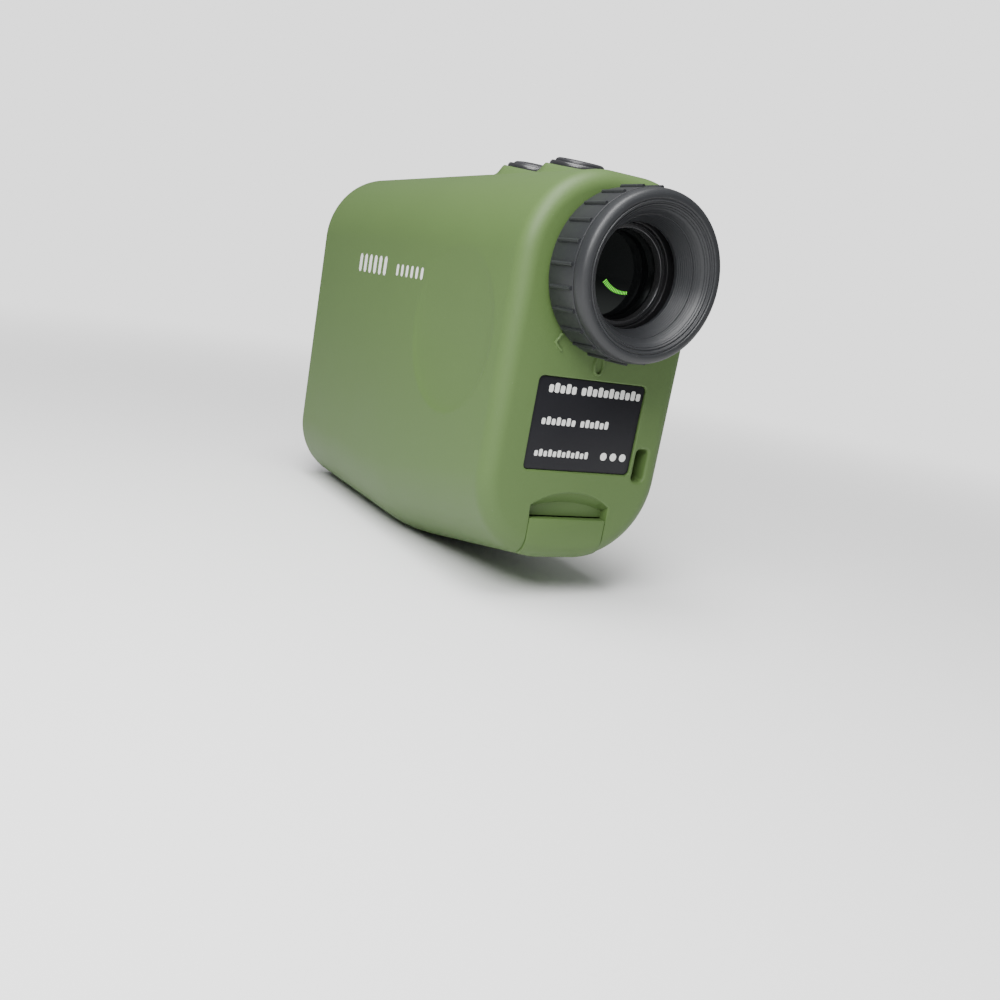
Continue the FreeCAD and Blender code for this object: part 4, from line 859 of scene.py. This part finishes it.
def dark_glass(name, tint, body_colour, seed_scale):
    """Coated glass over a black tube: a deep body colour under a clear coat with a coloured sheen."""
    paint = bpy.data.materials.new(name)
    paint.use_nodes = True
    nodes, links = paint.node_tree.nodes, paint.node_tree.links
    shader = nodes["Principled BSDF"]
    shader.inputs["Roughness"].default_value = 0.04
    shader.inputs["IOR"].default_value = 1.52
    shader.inputs["Specular IOR Level"].default_value = 0.22
    shader.inputs["Specular Tint"].default_value = (*tint, 1.0)
    shader.inputs["Coat Weight"].default_value = 0.06
    shader.inputs["Coat Roughness"].default_value = 0.03
    shader.inputs["Coat Tint"].default_value = (*tint, 1.0)
    place = nodes.new("ShaderNodeTexCoord")
    smear = nodes.new("ShaderNodeTexNoise")
    smear.inputs["Scale"].default_value = seed_scale
    smear.inputs["Detail"].default_value = 6.0
    links.new(place.outputs["Object"], smear.inputs["Vector"])
    depth = nodes.new("ShaderNodeMix")
    depth.data_type = "RGBA"
    depth.inputs["A"].default_value = (*body_colour, 1.0)
    depth.inputs["B"].default_value = (*[c * 1.6 for c in body_colour], 1.0)
    links.new(smear.outputs["Fac"], depth.inputs["Factor"])
    links.new(depth.outputs["Result"], shader.inputs["Base Color"])
    dull = nodes.new("ShaderNodeMapRange")
    dull.inputs["To Min"].default_value = 0.02
    dull.inputs["To Max"].default_value = 0.09
    links.new(smear.outputs["Fac"], dull.inputs["Value"])
    links.new(dull.outputs["Result"], shader.inputs["Roughness"])
    return paint


eye_glass = dark_glass("eye_glass", (0.75, 0.85, 0.80), (0.0022, 0.0024, 0.0026), 220.0)
eye_seat, eye_sag = -0.2, 0.9
eye_lens = turned("eye_lens_glass", lens_profile(eye_seat, lens_radius, eye_sag, 1.6, 3.5), eye_height,
                  "focus_cell", replaces="eye_lens")
dress(eye_lens, eye_glass)

# What the eye sees lit in the display: a short green scale on an arc. Its bars follow each other
# round the aperture's lower left edge.
glow = bpy.data.materials.new("display_green")
glow.use_nodes = True
lit = glow.node_tree.nodes["Principled BSDF"]
lit.inputs["Base Color"].default_value = (0.10, 0.55, 0.05, 1.0)
lit.inputs["Roughness"].default_value = 0.4
lit.inputs["Emission Strength"].default_value = 1.1
fade_place = glow.node_tree.nodes.new("ShaderNodeTexCoord")
fade_noise = glow.node_tree.nodes.new("ShaderNodeTexNoise")
fade_noise.inputs["Scale"].default_value = 900.0
fade_mix = glow.node_tree.nodes.new("ShaderNodeMix")
fade_mix.data_type = "RGBA"
fade_mix.inputs["A"].default_value = (0.03, 0.62, 0.05, 1.0)
fade_mix.inputs["B"].default_value = (0.22, 0.80, 0.02, 1.0)
glow.node_tree.links.new(fade_place.outputs["Object"], fade_noise.inputs["Vector"])
glow.node_tree.links.new(fade_noise.outputs["Fac"], fade_mix.inputs["Factor"])
glow.node_tree.links.new(fade_mix.outputs["Result"], lit.inputs["Emission Color"])
scale_points, scale_faces = [], []
scale_start, scale_end, scale_bars, bar_share = math.radians(281), math.radians(226), 17, 0.55
scale_x, scale_up, scale_radius, scale_lift = 1.0, 3.0, 6.0, 0.03
for bar in range(scale_bars):
    for part in (0.0, bar_share):
        a = scale_start + (scale_end - scale_start) * (bar + part) / scale_bars
        thick = 0.50 + 0.38 * (bar + part) / scale_bars
        for radius in (scale_radius - thick / 2, scale_radius + thick / 2):
            across, up = scale_x + radius * math.cos(a), scale_up + radius * math.sin(a)
            bulge = eye_seat - eye_sag * (1 - (across**2 + up**2) / lens_radius**2) - scale_lift
            scale_points.append((across, rear_y + bulge, eye_height + up))
    n = 4 * bar
    scale_faces.append((n, n + 1, n + 3, n + 2))
scale_arc = new_piece("display_scale", scale_points, scale_faces, "focus_cell")
dress(scale_arc, glow)

# ---------------------------------------------------------------------------------------------
# The two keys on top. Each is a black moulded cap with a finger groove, standing in a pressed-in
# black ring, and it travels 0.6 mm square to its sloping seat.

key_black = new_finish("key_black", (0.026, 0.026, 0.029), (0.018, 0.018, 0.021), rough=0.38,
                       rough_spread=0.06, grains=6500.0, grain_depth=0.004, dust=0.12, specular=0.35)
key_ring_black = new_finish("key_ring_black", (0.020, 0.020, 0.022), (0.014, 0.014, 0.016), rough=0.30,
                            grains=8000.0, grain_depth=0.003, dust=0.12)
print_white = new_finish("print_white", (0.72, 0.72, 0.70), (0.60, 0.60, 0.58), rough=0.55, grains=9000.0,
                         grain_depth=0.002, dust=0.05)
key_radius, key_stand, key_low, stem_radius, stem_end = 4.65, 1.9, -0.9, 2.2, -4.3
ring_stand, ring_outer, ring_inner, ring_sunk, groove_deep = 1.2, 5.6, 4.75, -0.5, 0.38
stem = [(stem_end, 0), (stem_end, stem_radius), (key_low, stem_radius), (key_low, key_radius)]
cap_profile = {
    "range": [*stem, (key_stand - 0.35, key_radius, 0.3), (key_stand, key_radius - 0.55, 0.3),
              (key_stand, key_radius * 0.74, 0.15), (key_stand - groove_deep, key_radius * 0.68, 0.1),
              (key_stand - groove_deep, key_radius * 0.60, 0.1), (key_stand - 0.04, key_radius * 0.53, 0.15),
              (key_stand - 0.16, 0.8, 0.2), (key_stand - 0.18, 0)],
    "mode": [*stem, (key_stand - 0.75, key_radius, 0.3), (key_stand - 0.25, key_radius - 0.5, 0.5),
             (key_stand - 0.02, key_radius * 0.55, 0.8), (key_stand, key_radius * 0.2, 0.4), (key_stand, 0)],
}
collar_profile = [(ring_sunk, ring_inner), (ring_sunk, ring_outer), (ring_stand - 0.4, ring_outer, 0.35),
                  (ring_stand, ring_outer - 0.3, 0.2), (ring_stand, ring_inner + 0.2, 0.15),
                  (ring_stand - 0.25, ring_inner, 0.1)]
tick_lift = {"range": key_stand - 0.10, "mode": key_stand + 0.012}
tick_near, tick_far, tick_inner, tick_outer = -1.1, -0.75, 0.15, 0.75
for word, (place, up) in button_centres.items():
    seat = Matrix.Translation((0, rear_y + place, up)) @ Matrix.Rotation(math.atan(boss_tilt), 4, "X")
    cap = turned(f"{word}_key_cap", eased(cap_profile[word]), 0, f"{word}_key", steps=96,
                 seat=seat, replaces=f"{word}_button")
    dress(cap, key_black)
    collar = turned(f"{word}_key_collar", eased(collar_profile), 0, "root", steps=96,
                    seat=seat, replaces=f"{word}_button_ring")
    dress(collar, key_ring_black)
    # Two short printed ticks stand for the key's symbol.
    ticks, tick_faces = [], []
    for left, right in ((-tick_outer, -tick_inner), (tick_inner, tick_outer)):
        n = len(ticks)
        corners = ((left, tick_near), (right, tick_near), (right, tick_far), (left, tick_far))
        ticks += [seat @ Vector((x, y, tick_lift[word])) for x, y in corners]
        tick_faces.append((n, n + 1, n + 2, n + 3))
    legend = new_piece(f"{word}_key_ticks", ticks, tick_faces, f"{word}_key")
    dress(legend, print_white)

# ---------------------------------------------------------------------------------------------
# The rating label and the printing. A thin black plate with rounded corners lies in its sunk seat,
# screen-printed with plain white bars; two rows of plain bars are pad-printed on the left side.


def softened(name, node, width, body="root", angle=35.0, paint=None):
    """A welded copy of a CAD node with its sharp edges rounded, standing for the node."""
    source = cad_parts[node]
    item = bpy.data.objects.new(name, source.data.copy())
    item.data.materials.clear()
    bpy.context.collection.objects.link(item)
    for key in list(item.keys()):
        del item[key]
    weld = bmesh.new()
    weld.from_mesh(item.data)
    bmesh.ops.remove_doubles(weld, verts=weld.verts, dist=0.002 * MM)
    bmesh.ops.dissolve_limit(weld, angle_limit=math.radians(0.6), verts=weld.verts, edges=weld.edges,
                             delimit={"NORMAL"})
    weld.to_mesh(item.data)
    weld.free()
    bevel = item.modifiers.new("rounding", "BEVEL")
    bevel.width, bevel.segments = width * MM, 3
    bevel.limit_method, bevel.angle_limit = "ANGLE", math.radians(angle)
    bevel.use_clamp_overlap = True
    bpy.context.view_layer.update()
    mesh = bpy.data.meshes.new_from_object(item.evaluated_get(bpy.context.evaluated_depsgraph_get()))
    item.modifiers.clear()
    item.data = mesh
    mesh.name = name
    smooth_by_angle(item, 35)
    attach(item, body)
    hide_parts(node)
    if paint:
        dress(item, paint)
    return item


label_black = new_finish("label_black", (0.011, 0.011, 0.014), (0.008, 0.008, 0.010), rough=0.36,
                         rough_spread=0.03, grains=5000.0, grain_depth=0.003, dust=0.03, specular=0.2)
softened("rating_plate", "label_plate", 0.08, paint=label_black)

label_front = (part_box("label_plate")[0].y / MM) - 0.02
bars, bar_faces = [], []


def clipped(wide, tall, share):
    """A bar's outline from its lower left corner, with its four corners cut off."""
    clip = min(wide, tall) * share
    return [(clip, 0), (wide - clip, 0), (wide, clip), (wide, tall - clip), (wide - clip, tall),
            (clip, tall), (0, tall - clip), (0, clip)]


def print_shape(points, faces, outline):
    """Adds one flat printed shape to a list of points and a list of faces."""
    faces.append(tuple(range(len(points), len(points) + len(outline))))
    points.extend(outline)


bar_gap, word_gap, short_share = 0.28, 0.9, 0.78
for base, tall, x, groups, wide in ((39.2, 1.75, -9.3, (5, 11), 0.95), (33.4, 1.45, -9.6, (7, 6), 0.80),
                                   (27.6, 1.30, -9.9, (12,), 0.72)):
    for many in groups:
        for index in range(many):
            shape = clipped(wide, tall if index % 2 else tall * short_share, 0.22)
            print_shape(bars, bar_faces, [(x + a, label_front, base + b) for a, b in shape])
            x += wide + bar_gap
        x += word_gap
# Three plain dots close the last row.
dot_radius, dot_up = 0.75, 28.3
for dot_x in (5.4, 7.6, 9.8):
    print_shape(bars, bar_faces, [
        (dot_x + dot_radius * math.cos(a), label_front, dot_up + dot_radius * math.sin(a))
        for a in np.linspace(0, 2 * math.pi, 17)[:-1]])
label_print = new_piece("label_print", bars, bar_faces)
dress(label_print, print_white)

# The side's own print, read along the case: plain upright bars in two groups.
side_points, side_faces = [], []
side_x = -case_half - 0.015
for first, base, wide, tall in ((71.0, 54.2, 1.5, 4.0), (50.0, 54.6, 1.1, 2.4)):
    for index in range(6):
        along = first - index * (wide + 1.3)
        print_shape(side_points, side_faces, [(side_x, rear_y + along - a, base + b)
                                              for a, b in clipped(wide, tall, 0.3)])
side_print = new_piece("side_print", side_points, side_faces)
dress(side_print, print_white)

# ---------------------------------------------------------------------------------------------
# The raised marks beside the eyepiece: an upright oval loop and an arrowhead, moulded with the
# rear wall as the dioptre ring's setting marks.


def face_outwards(item):
    """Turns a closed piece's faces outwards."""
    work = bmesh.new()
    work.from_mesh(item.data)
    bmesh.ops.recalc_face_normals(work, faces=work.faces)
    work.to_mesh(item.data)
    work.free()


def ridge(name, path, half_width, height, closed=False):
    """A low rounded bead on the rear face along a path of (x, z) points."""
    points, faces = [], []
    profile = [(-1.0, -0.15), (-0.72, 0.62), (-0.3, 0.95), (0.3, 0.95), (0.72, 0.62), (1.0, -0.15)]
    rows = widened(path, 0.0, closed)
    ahead = widened(path, 1.0, closed) - rows
    for (x, z), (nx, nz) in zip(rows, ahead):
        for across, up in profile:
            points.append((x + nx * across * half_width, rear_y - up * height, z + nz * across * half_width))
    count, wide = len(path), len(profile)
    for i in range(count if closed else count - 1):
        j = (i + 1) % count
        for k in range(wide - 1):
            faces.append((i * wide + k, j * wide + k, j * wide + k + 1, i * wide + k + 1))
    if not closed:
        faces += [tuple(range(wide)), tuple(reversed(range((count - 1) * wide, count * wide)))]
    item = new_piece(name, points, faces)
    work = bmesh.new()
    work.from_mesh(item.data)
    bmesh.ops.recalc_face_normals(work, faces=work.faces)
    if closed and sum(f.normal.y * f.calc_area() for f in work.faces) > 0:
        bmesh.ops.reverse_faces(work, faces=work.faces)
    work.to_mesh(item.data)
    work.free()
    smooth_by_angle(item, 60)
    dress(item, olive_moulding)
    return item


loop_x, loop_z = 0.0, 45.0
loop_half, loop_tall = 0.95, 1.75
oval_path = [(loop_x + loop_half * math.copysign(abs(math.cos(a)) ** 0.8, math.cos(a)),
              loop_z + loop_tall * math.sin(a)) for a in np.linspace(0, 2 * math.pi, 41)[:-1]]
ridge("loop_mark", oval_path, 0.32, 0.42, closed=True)
arrow = [(-9.0, 49.6), (-9.5, 48.8), (-10.1, 48.0), (-9.4, 47.3), (-8.6, 46.7)]
ridge("arrow_mark", arrow, 0.30, 0.42)

# ---------------------------------------------------------------------------------------------
# The battery door and what is behind it. The door is a curved flap cut to the chin's own form,
# moulded in the case's colour. It turns on a steel pin that two lugs of the case hold.

door = softened("battery_flap", "battery_door", 0.14, body="door", angle=40.0)
dress(door, olive_moulding)

lug_points, lug_faces = [], []
hinge_along, hinge_up, knuckle, lug_length = 40.0, 2.2, 1.5, 4.0
lug_inner, lug_outer, lug_chamfer = 3.9, 7.0, 0.2
lug_outline = [(hinge_along + lug_length, hinge_up - knuckle), (hinge_along + lug_length, hinge_up + knuckle)]
lug_outline += [(hinge_along + knuckle * math.sin(-a), hinge_up + knuckle * math.cos(a))
                for a in np.linspace(0, math.pi, 15)]
lug_middle, end_scale = hinge_along + 1.4, 1 - lug_chamfer / 2.2
for inner, outer in ((lug_inner, lug_outer), (-lug_outer, -lug_inner)):
    start = len(lug_points)
    slices = ((inner, end_scale), (inner + lug_chamfer, 1), (outer - lug_chamfer, 1), (outer, end_scale))
    for x, scale in slices:
        lug_points += [(x, rear_y + lug_middle + (along - lug_middle) * scale,
                        hinge_up + (z - hinge_up) * scale) for along, z in lug_outline]
    many = len(lug_outline)
    for row in range(3):
        for i in range(many):
            j = (i + 1) % many
            lug_faces.append((start + row * many + i, start + row * many + j, start + (row + 1) * many + j,
                              start + (row + 1) * many + i))
    lug_faces.append(tuple(reversed(range(start, start + many))))
    lug_faces.append(tuple(range(start + 3 * many, start + 4 * many)))
lugs = new_piece("hinge_lugs", lug_points, lug_faces)
face_outwards(lugs)
dress(lugs, olive_moulding)

inner_black = new_finish("inner_black", (0.020, 0.020, 0.021), (0.012, 0.012, 0.013), rough=0.55,
                         grains=3000.0, grain_depth=0.012, dust=0.10)
plated = new_finish("plated_steel", (0.62, 0.61, 0.59), (0.48, 0.47, 0.45), rough=0.28, rough_spread=0.08,
                    grains=14000.0, grain_depth=0.002, dust=0.05, metal=1.0)
sleeve_wrap = new_finish("cell_wrap", (0.055, 0.075, 0.16), (0.045, 0.060, 0.13), rough=0.30, grains=5000.0,
                         grain_depth=0.002, dust=0.10, coat=0.3)
softened("cell_trough", "battery_tray", 0.15, paint=inner_black)
softened("lithium_cell", "battery_cell", 0.35, paint=sleeve_wrap)
softened("contact_spring", "battery_spring", 0.04, paint=plated)
softened("contact_plate", "battery_contact", 0.04, paint=plated)
softened("flap_pin", "door_hinge_pin", 0.12, paint=plated)

# ---------------------------------------------------------------------------------------------
# The front. A black moulded cover, screwed into four posts of the case, carries the viewing
# objective above and the laser's collimating lens below, each in a black turned ring.

cover_black = new_finish("cover_black", (0.020, 0.020, 0.022), (0.014, 0.014, 0.016), rough=0.52,
                         rough_spread=0.07, grains=2600.0, grain_depth=0.016, dust=0.22)
softened("face_cover", "front_cover", 0.25, paint=cover_black)
plate_front = case_length - 0.8
plate_back = plate_front - 2.5
objective_radius, laser_radius, laser_height, bezel_stand, bezel_width = 12.0, 9.5, 24.0, 3.0, 1.0
for name, node, height, radius in (("objective_bezel", "objective_ring", eye_height, objective_radius),
                                   ("laser_bezel", "emitter_ring", laser_height, laser_radius)):
    front, back = plate_back + bezel_stand, plate_back - 0.8
    threads = [(front - 0.5 - 0.28 * i, radius + 0.15 - 0.03 * i + (0.07 if i % 2 else 0), 0.02)
               for i in range(7)]
    profile = [(back, radius - 0.4), (back, radius + bezel_width), (front - 0.25, radius + bezel_width, 0.25),
               (front, radius + 0.75, 0.2), (front, radius + 0.25, 0.12), *threads,
               (plate_back + 0.6, radius - 0.4, 0.1)]
    bezel = turned(name, eased(profile), height, replaces=node)
    dress(bezel, anodised)

violet_glass = dark_glass("objective_glass", (0.60, 0.55, 0.95), (0.004, 0.003, 0.010), 160.0)
green_glass = dark_glass("laser_glass", (0.55, 0.95, 0.70), (0.006, 0.003, 0.003), 160.0)
lens_back = plate_back - 0.8
objective = turned("objective_front_lens", lens_profile(lens_back - 3.2, objective_radius, 1.1, 1.3, 1.6),
                   eye_height, replaces="objective_crown")
dress(objective, violet_glass)
collimator = turned("laser_front_lens", lens_profile(lens_back - 3.6, laser_radius, 0.4, 1.3, 2.0),
                    laser_height, replaces="emitter_lens")
dress(collimator, green_glass)

# The four cover screws: one pan head with a cross recess, set at the posts by a node tree.
screw_tree, made, wired, sizes = new_tree("cover_screws", {
    "Upper half width": 0.0148, "Upper height": 0.042, "Lower half width": 0.0108, "Lower height": 0.0077,
    "Head face": 0.0, "Screw": None})
number = tree_node("GeometryNodeInputIndex", "Index")
side = sum_of("SUBTRACT", sum_of("MULTIPLY", sum_of("MODULO", number, 2.0), 2.0), 1.0)
lower = sum_of("GREATER_THAN", number, 1.5)


def of_row(word):
    """The upper screws' value of a size, or the lower screws' value."""
    upper_size, lower_size = sizes[f"Upper {word}"], sizes[f"Lower {word}"]
    return sum_of("ADD", upper_size, sum_of("MULTIPLY", lower, sum_of("SUBTRACT", lower_size, upper_size)))


screw_place = joined(sum_of("MULTIPLY", side, of_row("half width")), sizes["Head face"], of_row("height"))
corners = tree_node("GeometryNodeSetPosition", "Geometry", Position=screw_place,
                    Geometry=tree_node("GeometryNodeMeshLine", "Mesh", Count=4))
head_shape = tree_node("GeometryNodeObjectInfo", "Geometry", Object=sizes["Screw"])
each_turn = tree_node("FunctionNodeEulerToRotation", "Rotation",
                      Euler=joined(0, sum_of("MULTIPLY", number, 0.7), 0))
end_tree(tree_node("GeometryNodeInstanceOnPoints", "Instances", Points=corners, Instance=head_shape,
                   Rotation=each_turn))

screw_shape = bmesh.new()
head_radius, head_depth, shank_radius, shank_length = 1.9, 1.1, 1.0, 8.0
recess_half, recess_arm, recess_deep = 0.22, 1.0, 0.75
head_rows = [(1.12, 0.0), (1.25, -0.02), (1.6, -0.07), (1.8, -0.18), (head_radius, -0.4),
             (head_radius, -head_depth), (shank_radius, -head_depth), (shank_radius, -shank_length)]
cross = []
for turn in range(4):
    for across, out in ((recess_half, recess_half), (recess_half, recess_arm), (-recess_half, recess_arm)):
        for _ in range(turn):
            across, out = -out, across
        cross.append((across, out))
rows = []
cross_turns = [math.atan2(z, x) for x, z in cross]
for depth, scale in ((-recess_deep, 0.75), (0.04, 1.0)):
    rows.append([screw_shape.verts.new((x * scale * MM, depth * MM, z * scale * MM)) for x, z in cross])
for radius, depth in head_rows:
    rows.append([screw_shape.verts.new((radius * math.cos(a) * MM, depth * MM, radius * math.sin(a) * MM))
                 for a in cross_turns])
for first, second in zip(rows, rows[1:]):
    for i in range(12):
        screw_shape.faces.new((first[i], first[(i + 1) % 12], second[(i + 1) % 12], second[i]))
screw_shape.faces.new(rows[0])
screw_shape.faces.new(rows[-1])
bmesh.ops.recalc_face_normals(screw_shape, faces=screw_shape.faces)
screw_mesh = bpy.data.meshes.new("screw_pattern")
screw_shape.to_mesh(screw_mesh)
screw_shape.free()
screw_pattern = bpy.data.objects.new("screw_pattern", screw_mesh)
bpy.context.collection.objects.link(screw_pattern)
screw_values = {"Head face": (rear_y + plate_front - 0.1) * MM, "Screw": screw_pattern, "Finish": plated}
cover_screws = grown("cover_screws", screw_tree, screw_values, "root")
bpy.data.objects.remove(screw_pattern)
smooth_by_angle(cover_screws, 40)
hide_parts("front_screws")

# ---------------------------------------------------------------------------------------------
# The works inside: the prism box and its cover, the prisms, the boards with their parts, and the
# laser. They keep their plain shapes and get the finish each has in the real thing.

solder_mask = new_finish("solder_mask", (0.020, 0.110, 0.050), (0.014, 0.085, 0.038), rough=0.32,
                         grains=2500.0, grain_depth=0.01, dust=0.10, coat=0.3)
package_black = new_finish("package_black", (0.030, 0.030, 0.032), (0.020, 0.020, 0.022), rough=0.48,
                           grains=5000.0, grain_depth=0.006, dust=0.10)
amber_film = new_finish("amber_film", (0.42, 0.17, 0.035), (0.34, 0.13, 0.025), rough=0.30, grains=2000.0,
                        grain_depth=0.006, dust=0.05, coat=0.4)
prism_glass = dark_glass("prism_glass", (0.90, 0.95, 0.95), (0.05, 0.06, 0.06), 120.0)
works = [
    (inner_black, ("optical_chassis", "prism_cover")),
    (plated, ("prism_cover_screws", "main_board_screws", "detector_can", "laser_diode")),
    (solder_mask, ("main_board", "button_board", "diode_board", "detector_board")),
    (package_black, ("main_board_parts", "range_switch", "mode_switch")),
    (amber_film, ("flex_cable",)),
    (prism_glass, ("prism_rear", "prism_front", "reticle_display", "objective_flint", "field_lens")),
]
for paint, nodes in works:
    for node in nodes:
        dress(node, paint)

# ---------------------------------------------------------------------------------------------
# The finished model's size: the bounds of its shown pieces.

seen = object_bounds()
